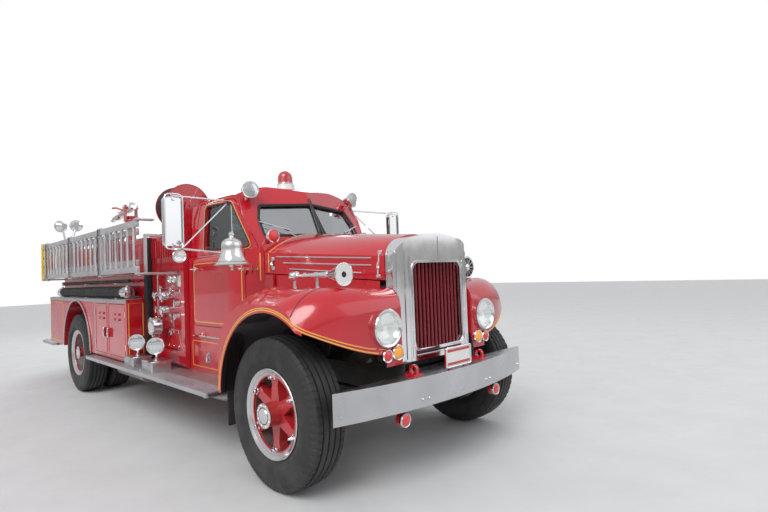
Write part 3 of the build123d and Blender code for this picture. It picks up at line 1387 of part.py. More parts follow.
# Columns of the horn: start and end behind its mouth's line, start radius, end radius
horn_table = ((0, 60, 34, 34), (60, 440, 14, 24), (440, 610, 24, 78))
with BuildPart() as horns:
    for start, end, radius_from, radius_to in horn_table:
        with BuildSketch(Plane.YZ.offset(horn_rear_x + start)):
            with Locations((-horn_y, horn_z)):
                Circle(radius_from)
        with BuildSketch(Plane.YZ.offset(horn_rear_x + end)):
            with Locations((-horn_y, horn_z)):
                Circle(radius_to)
        loft()
    with BuildSketch(Plane.XY.offset(1385)):
        with Locations((horn_rear_x + 30, -horn_y), (horn_rear_x + 310, -horn_y)):
            Circle(10)
    extrude(amount=horn_z - 1385)
    with BuildSketch(Plane.YZ.offset(siren_front_x - 230)):
        with Locations((horn_y, siren_z)):
            Circle(95)
    extrude(amount=230, taper=-3)
    with BuildSketch(Plane.YZ.offset(siren_front_x - 230)):
        with Locations((horn_y, siren_z)):
            Circle(90)
    extrude(amount=-110, taper=25)
    with BuildSketch(Plane.XY.offset(1385)):
        with Locations((siren_front_x - 140, horn_y)):
            Circle(28)
    extrude(amount=siren_z - 90 - 1385 + 30)
    add(fender.part, mode=Mode.SUBTRACT)
save(horns, "horns")

# Outside mirrors, on tubes from the doors
mirror_x = front_x - 1150
mirror_y = -1335
mirror_low = 1760
mirror_high = 2200
tube = 9
with BuildPart() as outside_mirror:
    with BuildSketch(Plane.YZ.offset(mirror_x - 18)):
        with Locations((mirror_y, (mirror_low + mirror_high) / 2)):
            RectangleRounded(165, mirror_high - mirror_low - 20, 40)
    extrude(amount=36)
    # Columns: height at the mirror, then the end on the door
    for z, x_end, y_end, z_end in ((mirror_high, front_x - 1290, -690, 2214),
                                   (mirror_low, front_x - 1010, -770, 1690)):
        start = Vector(mirror_x, mirror_y, z)
        end = Vector(x_end, y_end, z_end)
        with BuildSketch(Plane(origin=start, z_dir=end - start)):
            Circle(tube)
        extrude(amount=(end - start).length)
    with BuildSketch(Plane.XY.offset(mirror_low - 12)):
        with Locations((mirror_x, mirror_y)):
            Circle(tube)
    extrude(amount=mirror_high - mirror_low + 24)
    add(cab_outer, mode=Mode.SUBTRACT)
save_pair(outside_mirror, "mirror")
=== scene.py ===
"""The fire engine's looks: materials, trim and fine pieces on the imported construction.

Lengths are in metres in the row frame: +X forward, +Y to the left, +Z up.
"""

import math

import bmesh
import bpy
from mathutils import Matrix, Vector
from mathutils.bvhtree import BVHTree


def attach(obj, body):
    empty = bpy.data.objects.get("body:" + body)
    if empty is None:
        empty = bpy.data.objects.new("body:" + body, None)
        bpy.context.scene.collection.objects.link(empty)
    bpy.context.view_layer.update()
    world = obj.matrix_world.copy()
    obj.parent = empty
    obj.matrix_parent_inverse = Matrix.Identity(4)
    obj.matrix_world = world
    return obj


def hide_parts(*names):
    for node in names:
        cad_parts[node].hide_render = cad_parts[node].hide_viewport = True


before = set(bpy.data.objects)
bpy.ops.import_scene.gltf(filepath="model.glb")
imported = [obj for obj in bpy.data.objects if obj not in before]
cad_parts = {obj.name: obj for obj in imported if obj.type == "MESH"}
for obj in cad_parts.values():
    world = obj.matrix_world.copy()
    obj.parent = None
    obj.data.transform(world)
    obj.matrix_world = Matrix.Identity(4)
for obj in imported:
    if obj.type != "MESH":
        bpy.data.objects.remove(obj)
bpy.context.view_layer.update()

# Stations of the construction that the pieces sit on
FRONT = 3.195
REAR = FRONT - 4.908
AXLE_Z = 0.535
FRONT_TYRE_Y = 1.045
REAR_TYRE_Y = 1.016
DUAL_SPACING = 0.316
BODY_REAR = -3.185
BODY_FRONT = FRONT - 2.890
PUMP_FRONT = FRONT - 1.967
PUMP_REAR = FRONT - 2.880
CAB_REAR = FRONT - 1.955
HOOD_FRONT = FRONT + 0.440
HOOD_REAR = FRONT - 0.760
BOARD_TOP = 0.584
ARCH = (FRONT + 0.020, 0.600)
ARCH_RADIUS = 0.640
REAR_ARCH = (REAR + 0.020, 0.600)
REAR_ARCH_RADIUS = 0.650
LOCKER_FACE = 1.150
PLATE_Z = 0.842
GRAB_RAIL_Y = 1.020
TAIL_END = -3.973
REEL_Y = -0.640
REEL_Z = 2.310
MIRROR_Z = 1.980
INLET_X = FRONT - 2.480
INLET_Z = 1.010
LOCKER_POST_X = FRONT - 3.540
END_BOARD_Y = -1.247
SIDES = ((-1, "right"), (1, "left"))


# Materials
def node_material(name):
    mat = bpy.data.materials.new(name)
    mat.use_nodes = True
    tree = mat.node_tree
    tree.nodes.clear()
    out = tree.nodes.new("ShaderNodeOutputMaterial")
    return mat, tree, out


def noise(tree, scale, detail=3.0, stretch=None):
    """A noise texture in the piece's own coordinates."""
    where = tree.nodes.new("ShaderNodeTexCoord")
    tex = tree.nodes.new("ShaderNodeTexNoise")
    tex.inputs["Scale"].default_value = scale
    tex.inputs["Detail"].default_value = detail
    source = where.outputs["Object"]
    if stretch:
        mapping = tree.nodes.new("ShaderNodeMapping")
        mapping.inputs["Scale"].default_value = stretch
        tree.links.new(source, mapping.inputs["Vector"])
        source = mapping.outputs["Vector"]
    tree.links.new(source, tex.inputs["Vector"])
    return tex.outputs["Fac"]


def spread(tree, value, low, high, from_low=0.3, from_high=0.7):
    """Maps a noise value to a range."""
    node = tree.nodes.new("ShaderNodeMapRange")
    node.inputs["From Min"].default_value = from_low
    node.inputs["From Max"].default_value = from_high
    node.inputs["To Min"].default_value = low
    node.inputs["To Max"].default_value = high
    tree.links.new(value, node.inputs["Value"])
    return node.outputs["Result"]


def mix_colour(tree, fac, first, second):
    node = tree.nodes.new("ShaderNodeMix")
    node.data_type = "RGBA"
    tree.links.new(fac, node.inputs[0])
    for socket, colour in ((node.inputs[6], first), (node.inputs[7], second)):
        if isinstance(colour, tuple):
            socket.default_value = (*colour, 1.0)
        else:
            tree.links.new(colour, socket)
    return node.outputs[2]


def surface(name, colour, rough=0.4, metal=0.0, vary=0.08, bump=0.02, scale=40.0, coat=0.0, dust=0.12,
        stretch=None, pattern=None, alpha=None, glow=0.0, arch=None):
    """A procedural finish: tone and gloss vary, dust gathers low down, an arch's inside gets painted shade.
    """
    mat, tree, out = node_material(name)
    shader = tree.nodes.new("ShaderNodeBsdfPrincipled")
    dark = tuple(c * (1 - vary) for c in colour)
    light = tuple(min(1.0, c * (1 + vary)) for c in colour)
    tone = mix_colour(tree, spread(tree, noise(tree, 2.3), 0.0, 1.0), dark, light)
    where = tree.nodes.new("ShaderNodeTexCoord")
    split = tree.nodes.new("ShaderNodeSeparateXYZ")
    tree.links.new(where.outputs["Object"], split.inputs["Vector"])
    low = spread(tree, split.outputs["Z"], dust, 0.0, 0.2, 1.1)
    patches = tree.nodes.new("ShaderNodeMath")
    patches.operation = "MULTIPLY"
    tree.links.new(low, patches.inputs[0])
    tree.links.new(spread(tree, noise(tree, 6.0, 6.0), 0.2, 1.0), patches.inputs[1])
    base = mix_colour(tree, patches.outputs["Value"], tone, (0.30, 0.27, 0.23))
    if arch:
        # Painted shade inside the arch and on faces turned towards it; columns of arch: centre x, centre z,
        # radius
        flat = tree.nodes.new("ShaderNodeMapping")
        flat.inputs["Location"].default_value = (-arch[0], 0.0, -arch[1])
        flat.inputs["Scale"].default_value = (1.0, 0.0, 1.0)
        reach = tree.nodes.new("ShaderNodeVectorMath")
        reach.operation = "LENGTH"
        tree.links.new(where.outputs["Object"], flat.inputs["Vector"])
        tree.links.new(flat.outputs["Vector"], reach.inputs[0])
        inside = spread(tree, reach.outputs["Value"], 1.0, 0.0, arch[2] + 0.0015, arch[2] + 0.0025)
        facing = tree.nodes.new("ShaderNodeVectorMath")
        facing.operation = "DOT_PRODUCT"
        tree.links.new(flat.outputs["Vector"], facing.inputs[0])
        tree.links.new(where.outputs["Normal"], facing.inputs[1])
        inward = spread(tree, facing.outputs["Value"], 1.0, 0.0, -0.12, -0.08)
        level = spread(tree, facing.outputs["Value"], 1.0, 0.0, 0.08, 0.12)
        near = spread(tree, reach.outputs["Value"], 1.0, 0.0, 0.80, 0.81)
        parts = []
        for first, second in ((inside, level), (inward, near)):
            both = tree.nodes.new("ShaderNodeMath")
            both.operation = "MULTIPLY"
            tree.links.new(first, both.inputs[0])
            tree.links.new(second, both.inputs[1])
            parts.append(both.outputs["Value"])
        painted_arch_shade = tree.nodes.new("ShaderNodeMath")
        painted_arch_shade.operation = "MAXIMUM"
        tree.links.new(parts[0], painted_arch_shade.inputs[0])
        tree.links.new(parts[1], painted_arch_shade.inputs[1])
        # Painted shade: near black mixed in inside the arch and on the inward faces near it
        base = mix_colour(tree, painted_arch_shade.outputs["Value"], base, (0.022, 0.016, 0.016))
    tree.links.new(base, shader.inputs["Base Color"])
    shader.inputs["Metallic"].default_value = metal
    tree.links.new(spread(tree, noise(tree, 9.0, 5.0), rough * 0.8, min(1.0, rough * 1.25 + 0.01)),
        shader.inputs["Roughness"])
    shader.inputs["Coat Weight"].default_value = coat
    shader.inputs["Coat Roughness"].default_value = 0.03
    if alpha is not None:
        shader.inputs["Alpha"].default_value = alpha
    if glow:
        shader.inputs["Emission Color"].default_value = (*colour, 1.0)
        shader.inputs["Emission Strength"].default_value = glow
    height = noise(tree, scale, 4.0, stretch)
    if pattern == "tread":
        for turn in (45, -45):
            spot = tree.nodes.new("ShaderNodeMapping")
            spot.inputs["Rotation"].default_value = (0, 0, math.radians(turn))
            wave = tree.nodes.new("ShaderNodeTexWave")
            wave.inputs["Scale"].default_value = 11.0
            tree.links.new(where.outputs["Object"], spot.inputs["Vector"])
            tree.links.new(spot.outputs["Vector"], wave.inputs["Vector"])
            join = tree.nodes.new("ShaderNodeMath")
            join.operation = "MAXIMUM"
            tree.links.new(height, join.inputs[0])
            tree.links.new(spread(tree, wave.outputs["Fac"], 0.0, 1.6, 0.8, 1.0), join.inputs[1])
            height = join.outputs["Value"]
    relief = tree.nodes.new("ShaderNodeBump")
    relief.inputs["Strength"].default_value = bump
    relief.inputs["Distance"].default_value = 0.01
    tree.links.new(height, relief.inputs["Height"])
    tree.links.new(relief.outputs["Normal"], shader.inputs["Normal"])
    if coat:
        tree.links.new(relief.outputs["Normal"], shader.inputs["Coat Normal"])
    tree.links.new(shader.outputs["BSDF"], out.inputs["Surface"])
    return mat


def pane(name, tint, gloss=0.10, haze=0.02):
    """Thin glass: mostly clear, with a constant share of reflection and smudges."""
    mat, tree, out = node_material(name)
    clear = tree.nodes.new("ShaderNodeBsdfTransparent")
    clear.inputs["Color"].default_value = (*tint, 1.0)
    shine = tree.nodes.new("ShaderNodeBsdfGlossy")
    tree.links.new(spread(tree, noise(tree, 7.0, 5.0), haze * 0.5, haze * 2.0), shine.inputs["Roughness"])
    mix = tree.nodes.new("ShaderNodeMixShader")
    mix.inputs["Fac"].default_value = gloss
    relief = tree.nodes.new("ShaderNodeBump")
    relief.inputs["Strength"].default_value = 0.01
    tree.links.new(noise(tree, 3.0), relief.inputs["Height"])
    tree.links.new(relief.outputs["Normal"], shine.inputs["Normal"])
    tree.links.new(clear.outputs["BSDF"], mix.inputs[1])
    tree.links.new(shine.outputs["BSDF"], mix.inputs[2])
    tree.links.new(mix.outputs["Shader"], out.inputs["Surface"])
    return mat


RED = (0.47, 0.005, 0.014)
paint = surface("red_gloss", RED, 0.22, vary=0.05, bump=0.004, scale=6.0, coat=1.0, dust=0.03)
# The fenders' and wheel housings' red turns to painted shade inside the wheel arches.
fender_paint_arch_shade = surface("red_fenders_painted_arch_shade", RED, 0.22, vary=0.05, bump=0.004, scale=6.0, coat=0.9, dust=0.03,
    arch=(*ARCH, ARCH_RADIUS))
housing_paint_arch_shade = surface("red_housings_painted_arch_shade", RED, 0.22, vary=0.05, bump=0.004, scale=6.0, coat=0.9, dust=0.03,
    arch=(*REAR_ARCH, REAR_ARCH_RADIUS))
wheel_red = surface("red_castings", (0.42, 0.005, 0.014), 0.30, bump=0.03, scale=70.0, coat=0.6, dust=0.2)
maroon = surface("maroon_slats", (0.17, 0.004, 0.010), 0.28, bump=0.01, coat=0.5)
black = surface("chassis_black", (0.018, 0.018, 0.019), 0.45, vary=0.3, bump=0.08, scale=60.0, dust=0.35)
engine_grey = surface("engine_grey", (0.16, 0.17, 0.17), 0.6, vary=0.2, bump=0.2, scale=90.0, dust=0.3)
core_black = surface("radiator_core", (0.012, 0.012, 0.012), 0.7, vary=0.3, bump=0.5, scale=140.0)
chrome = surface("chrome", (0.80, 0.80, 0.81), 0.045, 1.0, vary=0.04, bump=0.004, scale=5.0, dust=0.05)
polished = surface("polished_shell", (0.86, 0.86, 0.87), 0.11, 1.0, vary=0.05, bump=0.008, scale=9.0,
    dust=0.04)
alloy = surface("brushed_aluminium", (0.60, 0.60, 0.62), 0.30, 1.0, vary=0.10, bump=0.03, scale=60.0,
    stretch=(1.0, 30.0, 1.0), dust=0.08)
alloy_soft = surface("satin_aluminium", (0.62, 0.61, 0.62), 0.38, 0.85, vary=0.12, bump=0.04, scale=80.0,
    stretch=(0.2, 8.0, 8.0), dust=0.12)
tread_plate = surface("tread_plate", (0.52, 0.52, 0.53), 0.36, 0.9, vary=0.12, bump=0.35, scale=50.0,
    pattern="tread", dust=0.3)
steel = surface("pale_steel", (0.46, 0.44, 0.42), 0.42, 0.8, vary=0.2, bump=0.08, scale=30.0, dust=0.3)
rim_silver = surface("rim_silver", (0.62, 0.62, 0.63), 0.22, 0.9, vary=0.06, bump=0.02, dust=0.15)
rubber = surface("tyre_rubber", (0.014, 0.014, 0.015), 0.58, vary=0.25, bump=0.12, scale=120.0, dust=0.10)
trim_black = surface("black_rubber_trim", (0.014, 0.014, 0.015), 0.5, vary=0.2, bump=0.05, scale=90.0)
hose_black = surface("hose_rubber", (0.02, 0.02, 0.021), 0.5, vary=0.3, bump=0.9, scale=20.0,
    stretch=(22.0, 0.3, 0.3))
vinyl = surface("seat_vinyl", (0.035, 0.012, 0.010), 0.45, vary=0.2, bump=0.15, scale=160.0)
plastic = surface("black_rim", (0.016, 0.016, 0.016), 0.22, vary=0.1, bump=0.02, coat=0.4)
gold = surface("gold_lining", (0.78, 0.42, 0.07), 0.36, 0.1, vary=0.12, bump=0.02, coat=0.5)
yellow = surface("yellow_paint", (0.75, 0.48, 0.02), 0.4, vary=0.1, bump=0.04)
white = surface("white_enamel", (0.72, 0.72, 0.70), 0.25, vary=0.05, bump=0.01, coat=0.6, dust=0.05)
bell_metal = surface("bell_metal", (0.78, 0.78, 0.77), 0.13, 0.85, vary=0.05, bump=0.01, dust=0.03)
# Near black for the horn's and siren's throats: painted shade in their hollows.
dark = surface("painted_shade_inside", (0.02, 0.018, 0.018), 0.6, vary=0.3, bump=0.05)
amber = surface("amber_lens", (0.85, 0.33, 0.02), 0.12, vary=0.1, bump=0.25, scale=110.0, coat=1.0, glow=0.12)
red_glass = surface("red_lens", (0.62, 0.010, 0.014), 0.10, vary=0.08, bump=0.2, scale=110.0, coat=1.0,
    glow=0.10)
dome_glass = surface("beacon_dome", (0.46, 0.01, 0.02), 0.06, vary=0.05, bump=0.05, scale=60.0, coat=1.0,
    alpha=0.82, glow=0.08)
lamp_glass = pane("lamp_glass", (0.93, 0.95, 0.95), 0.16, 0.03)
screen_glass = pane("windscreen_glass", (0.62, 0.67, 0.67), 0.58, 0.02)
reflector = surface("lamp_reflector", (0.88, 0.88, 0.86), 0.20, 0.7, vary=0.03, bump=0.02, dust=0.0,
    glow=0.10)
glass = pane("window_glass", (0.60, 0.66, 0.66), 0.16, 0.012)
mirror_face = surface("mirror_face", (0.82, 0.84, 0.85), 0.02, 1.0, vary=0.02, bump=0.001, dust=0.02)
dial = surface("dial_white", (0.70, 0.70, 0.66), 0.4, vary=0.04, bump=0.01, dust=0.0)


# Meshes
class Mesh:
    """Collects vertices and faces for one object."""

    def __init__(self):
        self.verts = []
        self.faces = []

    def add(self, verts, faces):
        start = len(self.verts)
        self.verts += [tuple(v) for v in verts]
        self.faces += [[i + start for i in face] for face in faces]

    def make(self, name, material, body="chassis", slot=None, angle=35.0, replaces=()):
        data = bpy.data.meshes.new(name)
        data.from_pydata(self.verts, [], self.faces)
        data.validate()
        bm = bmesh.new()
        bm.from_mesh(data)
        bmesh.ops.recalc_face_normals(bm, faces=bm.faces)
        bm.to_mesh(data)
        bm.free()
        data.shade_smooth()
        data.set_sharp_from_angle(angle=math.radians(angle))
        obj = bpy.data.objects.new(name, data)
        bpy.context.scene.collection.objects.link(obj)
        data.materials.append(material)
        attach(obj, body)
        if replaces:
            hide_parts(*replaces)
        return obj


def frame_about(axis):
    """Two unit vectors square to an axis."""
    axis = Vector(axis).normalized()
    first = axis.orthogonal().normalized()
    if abs(axis.z) < 0.99:
        first = axis.cross(Vector((0, 0, 1))).normalized()
    return axis, first, axis.cross(first)


def revolve(mesh, centre, axis, profile, steps=32, loop=False):
    """Turns (radius, distance along the axis) points about an axis."""
    axis, u, v = frame_about(axis)
    centre = Vector(centre)
    rings = []
    verts = []
    for radius, along in profile:
        if radius < 1e-6:
            rings.append([len(verts)])
            verts.append(centre + axis * along)
            continue
        rings.append(list(range(len(verts), len(verts) + steps)))
        for i in range(steps):
            t = 2 * math.pi * i / steps
            verts.append(centre + axis * along + (u * math.cos(t) + v * math.sin(t)) * radius)
    faces = []
    pairs = list(zip(rings, rings[1:])) + ([(rings[-1], rings[0])] if loop else [])
    for a, b in pairs:
        for i in range(steps):
            j = (i + 1) % steps
            face = [a[i % len(a)], a[j % len(a)], b[j % len(b)], b[i % len(b)]]
            face = list(dict.fromkeys(face))
            if len(face) > 2:
                faces.append(face)
    mesh.add(verts, faces)
    return mesh


def sweep(mesh, points, section, normals=None, closed=False, cap=True):
    """Carries a closed section of (across, up) points along a line."""
    points = [Vector(p) for p in points]
    count = len(points)
    side = None
    verts = []
    for i, point in enumerate(points):
        before = points[i - 1] if i or closed else point
        after = points[(i + 1) % count] if i < count - 1 or closed else point
        along = (after - before).normalized()
        if normals:
            up = Vector(normals[i])
        elif side is None:
            up = Vector((0, 0, 1)) if abs(along.z) < 0.9 else Vector((1, 0, 0))
        else:
            up = side.cross(along)
        side = along.cross(up).normalized()
        up = side.cross(along).normalized()
        verts += [point + side * a + up * b for a, b in section]
    size = len(section)
    faces = []
    for i in range(count if closed else count - 1):
        j = (i + 1) % count
        for k in range(size):
            m = (k + 1) % size
            faces.append([i * size + k, i * size + m, j * size + m, j * size + k])
    if cap and not closed:
        faces.append(list(range(size)))
        faces.append([(count - 1) * size + k for k in range(size)])
    mesh.add(verts, faces)
    return mesh


def circle(radius, count=10):
    return [(radius * math.cos(2 * math.pi * i / count), radius * math.sin(2 * math.pi * i / count))
        for i in range(count)]


def tube(mesh, points, radius, count=10, closed=False):
    return sweep(mesh, points, circle(radius, count), closed=closed)


def band(width, height, lift=0.0):
    """A flat band's section with chamfered edges."""
    half = width / 2
    edge = min(height * 0.5, half * 0.4)
    return [(-half, lift - 0.002), (half, lift - 0.002), (half, lift + height - edge),
        (half - edge, lift + height), (-half + edge, lift + height), (-half, lift + height - edge)]


def block(mesh, centre, size, bevel=0.004, turn=None, segments=2):
    """A box with rounded edges."""
    bm = bmesh.new()
    bmesh.ops.create_cube(bm, size=1.0)
    bmesh.ops.scale(bm, vec=size, verts=bm.verts)
    bmesh.ops.bevel(bm, geom=bm.edges[:], offset=min(bevel, min(size) * 0.45), segments=segments,
        profile=0.5, affect="EDGES")
    place = Matrix.Translation(Vector(centre))
    if turn:
        place = place @ turn
    verts = [place @ v.co for v in bm.verts]
    mesh.add(verts, [[v.index for v in f.verts] for f in bm.faces])
    bm.free()
    return mesh


def plate(mesh, outline, origin, x_dir, y_dir, thick, edge=0.002):
    """A flat plate over a closed outline, with a chamfered front edge."""
    x_dir, y_dir = Vector(x_dir), Vector(y_dir)
    normal = x_dir.cross(y_dir).normalized()
    middle = [sum(p[i] for p in outline) / len(outline) for i in (0, 1)]
    rows = []
    for scale_in, lift in ((0.0, 0.0), (0.0, thick - edge), (edge, thick)):
        for x, y in outline:
            away = Vector((x - middle[0], y - middle[1]))
            away = away * (1 - scale_in / max(away.length, 1e-6))
            rows.append(Vector(origin) + x_dir * (middle[0] + away.x) + y_dir * (middle[1] + away.y)
                + normal * lift)
    n = len(outline)
    faces = [[r * n + i, r * n + (i + 1) % n, (r + 1) * n + (i + 1) % n,
        (r + 1) * n + i] for r in range(2) for i in range(n)]
    faces += [list(range(n)), [2 * n + i for i in range(n)]]
    mesh.add(rows, faces)
    return mesh


def rounded(points, radius, count=5):
    """A closed outline with rounded corners, in two coordinates."""
    out = []
    points = [Vector(p) for p in points]
    for i, corner in enumerate(points):
        a = (points[i - 1] - corner)
        b = (points[(i + 1) % len(points)] - corner)
        half = a.angle(b) / 2
        cut = min(radius / math.tan(half), a.length * 0.48, b.length * 0.48)
        start = corner + a.normalized() * cut
        end = corner + b.normalized() * cut
        for k in range(count + 1):
            t = k / count
            out.append(tuple((1 - t) ** 2 * start + 2 * t * (1 - t) * corner + t ** 2 * end))
    return out


def slot_outline(x, y, long, wide, count=8):
    """A slot's outline, long in x."""
    out = []
    for side in (1, -1):
        for k in range(count + 1):
            t = math.pi * (k / count - 0.5)
            out.append((x + side * (long / 2 - wide / 2 + wide / 2 * math.cos(t)),
                y + side * wide / 2 * math.sin(t)))
    return out


def dense(points, step=0.04, closed=False):
    """Puts points between the corners of a line."""
    points = [Vector(p) for p in points]
    ends = points[1:] + ([points[0]] if closed else [])
    out = []
    for a, b in zip(points, ends):
        n = max(1, int((b - a).length / step))
        out += [a + (b - a) * i / n for i in range(n)]
    if not closed:
        out.append(points[-1])
    return out


def arc(centre, radius, start, end, count=24):
    """Points of an arc in two coordinates, angles in degrees."""
    return [(centre[0] + radius * math.cos(math.radians(start + (end - start) * i / count)),
        centre[1] + radius * math.sin(math.radians(start + (end - start) * i / count)))
        for i in range(count + 1)]


# Surfaces of the construction, for trim that follows them
def skin(*names):
    verts = []
    faces = []
    for name in names:
        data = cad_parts[name].data
        start = len(verts)
        verts += [v.co.copy() for v in data.vertices]
        faces += [[i + start for i in p.vertices] for p in data.polygons]
    return BVHTree.FromPolygons(verts, faces)


def land(tree, points, direction, far=4.0):
    """Drops points along a direction on a surface: places and outward normals."""
    direction = Vector(direction).normalized()
    places = []
    normals = []
    for point in points:
        hit, normal, _, _ = tree.ray_cast(Vector(point) - direction * far, direction)
        if hit is None:
            continue
        if normal.dot(direction) > 0:
            normal = -normal
        places.append(hit)
        normals.append(normal)
    return places, normals


def side_line(tree, points, side, step=0.03, closed=False):
    """Drops (x, z) points on a side of the vehicle."""
    line = [(p[0], 0, p[1]) for p in dense([Vector((x, z)) for x, z in points], step, closed)]
    return land(tree, line, (0, -side, 0))


def lining(mesh, places, normals, closed=False, width=0.009, lift=0.0006):
    """A painted line: a thin ribbon on a surface."""
    if len(places) > 1:
        sweep(mesh, places, band(width, 0.0012, lift), normals, closed)


def moulding(mesh, places, normals, closed=False, width=0.016, height=0.008):
    if len(places) > 1:
        sweep(mesh, places, [(-width / 2, -0.003), (width / 2, -0.003), (width * 0.42, height * 0.6),
            (width * 0.18, height), (-width * 0.18, height), (-width * 0.42, height * 0.6)], normals,
            closed)


def smooth(values, rounds=3):
    """Evens out normals along a line."""
    values = [Vector(v) for v in values]
    for _ in range(rounds):
        values = [(values[max(i - 1, 0)] + v + values[min(i + 1, len(values) - 1)]).normalized() for i,
            v in enumerate(values)]
    return values


def side_strip(shape, mesh, tree, points, side, step, closed, rounds, *sizes):
    """Lays a moulding or a painted line along (x, z) points on a side, its normals evened out."""
    places, normals = side_line(tree, points, side, step, closed)
    shape(mesh, places, smooth(normals, rounds), closed, *sizes)


def bolts(mesh, places, normal, radius=0.010, height=0.007):
    for place in places:
        revolve(mesh, place, normal, [(radius, -0.002), (radius, height * 0.7), (radius * 0.8, height),
            (0.0, height)], 6)


# Finishes of the construction's own nodes
finishes = {"frame": black, "front_axle": black, "rear_axle": black, "leaf_springs": black,
    "driveline": black, "knuckle_right": black, "knuckle_left": black, "tie_rod": black,
    "engine_block": engine_grey, "exhaust": steel, "bumper": alloy, "bumper_fittings": paint,
    "radiator_shell": polished, "grille": maroon, "radiator": core_black, "front_lamps": chrome,
    "front_fenders": fender_paint_arch_shade, "cab": paint, "windscreen": screen_glass, "seat": vinyl,
    "steering_wheel": plastic, "pump_house": paint, "pump_fittings": chrome, "rear_body": paint,
    "locker_bodies": paint, "wheel_housings": housing_paint_arch_shade, "hose_bed": paint,
    "running_boards": tread_plate, "tailboard": tread_plate, "ladders": alloy_soft,
    "ladder_rack": alloy_soft, "suction_hoses": hose_black, "beacon": white, "lamps": chrome,
    "bell": bell_metal, "horns": chrome, "hose_reel": paint, "monitor_turret": paint,
    "monitor_barrel": chrome, "mirror_right": chrome, "mirror_left": chrome,}
for name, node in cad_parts.items():
    finish = finishes.get(name)
    if name.startswith(("hood_", "door_right", "door_left", "locker_door")):
        finish = paint
    if name.startswith("door_glass"):
        finish = glass
    if name.startswith("tyre"):
        finish = rubber
    if name.startswith("wheel"):
        finish = wheel_red
    node.data.materials.clear()
    node.data.materials.append(finish)
    node.data.shade_smooth()
    node.data.set_sharp_from_angle(angle=math.radians(30))

# Tyres: side walls with rings, shoulder blocks and a ribbed tread
PITCHES = 64
# Columns: distance from the middle plane, radius, whether a cross cut lowers the point
TYRE_PROFILE = (
    (0.100, 0.302, 0), (0.122, 0.330, 0), (0.134, 0.362, 0), (0.137, 0.366, 0), (0.139, 0.372, 0),
    (0.141, 0.400, 0), (0.1405, 0.430, 0), (0.137, 0.458, 0), (0.1375, 0.462, 0), (0.132, 0.480, 1),
    (0.124, 0.500, 1), (0.119, 0.511, 1), (0.108, 0.5255, 1), (0.076, 0.5285, 1), (0.074, 0.517, 0),
    (0.066, 0.517, 0), (0.064, 0.531, 0), (0.030, 0.5325, 0), (0.028, 0.520, 0), (0.020, 0.520, 0),
    (0.018, 0.533, 0), (0.0, 0.5345, 0),
)


def tyre(mesh, axle_x, centre_y):
    half = list(TYRE_PROFILE)
    profile = half + [(-d, r, cut) for d, r, cut in reversed(half[:-1])]
    verts = []
    count = len(profile)
    for pitch in range(PITCHES):
        for part, cut in ((0.0, 0), (0.62, 0), (0.66, 1), (0.96, 1)):
            for d, radius, takes_cut in profile:
                turn = 2 * math.pi * (pitch + part + (0.5 if d < 0 else 0.0)) / PITCHES
                radius -= 0.004 if cut and takes_cut else 0.0
                verts.append((axle_x + radius * math.sin(turn), centre_y + d,
                    AXLE_Z - radius * math.cos(turn)))
    rows = PITCHES * 4
    faces = [[r * count + k, r * count + k + 1, ((r + 1) % rows) * count + k + 1,
        ((r + 1) % rows) * count + k] for r in range(rows) for k in range(count - 1)]
    mesh.add(verts, faces)


# Wheels: bright rims, wedges with nuts at the spokes' ends, a hub flange with bolts
def wheel_trim(axle_x, side, centres, spoke_y, hub_face, where, body):
    axis = (0, side, 0)
    rim = Mesh()
    for centre in centres:
        for out in (1, -1):
            middle = (axle_x, side * centre, AXLE_Z)
            revolve(rim, middle, axis, [(0.258, 0.082 * out), (0.266, 0.099 * out), (0.276, 0.103 * out),
                (0.290, 0.112 * out), (0.302, 0.121 * out), (0.309, 0.125 * out), (0.315, 0.120 * out),
                (0.313, 0.112 * out), (0.301, 0.108 * out)], 72)
    rim.make(f"rims_{where}", rim_silver, body, "pale_steel")
    bright = Mesh()
    for i in range(6):
        t = math.radians(90 + 60 * i)
        out = Vector((math.cos(t), 0, math.sin(t)))
        spot = Vector((axle_x, side * (spoke_y + 0.034), AXLE_Z)) + out * 0.252
        turn = Matrix((( out.x, 0, -out.z), (0, 1, 0), (out.z, 0, out.x))).to_4x4()
        block(bright, spot + Vector((0, side * 0.006, 0)), (0.034, 0.018, 0.062), 0.006, turn)
        revolve(bright, spot, axis, [(0.017, 0.010), (0.017, 0.030), (0.013, 0.036), (0.009, 0.037),
            (0.009, 0.048), (0.0, 0.050)], 6)
    face = Vector((axle_x, side * hub_face, AXLE_Z))
    for i in range(8):
        t = math.radians(22.5 + 45 * i)
        spot = face + Vector((math.cos(t), 0, math.sin(t))) * 0.073
        revolve(bright, spot, axis, [(0.009, -0.004), (0.009, 0.008), (0.006, 0.011), (0.0, 0.012)], 6)
    revolve(bright, face, axis, [(0.086, 0.0), (0.086, 0.005), (0.080, 0.008), (0.060, 0.008)], 40)
    revolve(bright, face, axis, [(0.054, 0.008), (0.050, 0.0125), (0.040, 0.0145), (0.0, 0.0155)], 40)
    bright.make(f"wheel_bolts_{where}", chrome, body, "chrome")
    inner = Mesh()
    for centre in centres:
        revolve(inner, (axle_x, side * centre, AXLE_Z), axis, [(0.281, -0.108), (0.2805, -0.05),
            (0.2795, 0.0), (0.2805, 0.05), (0.281, 0.106)], 72)
    inner.make(f"rim_wells_{where}", steel, body, "pale_steel")


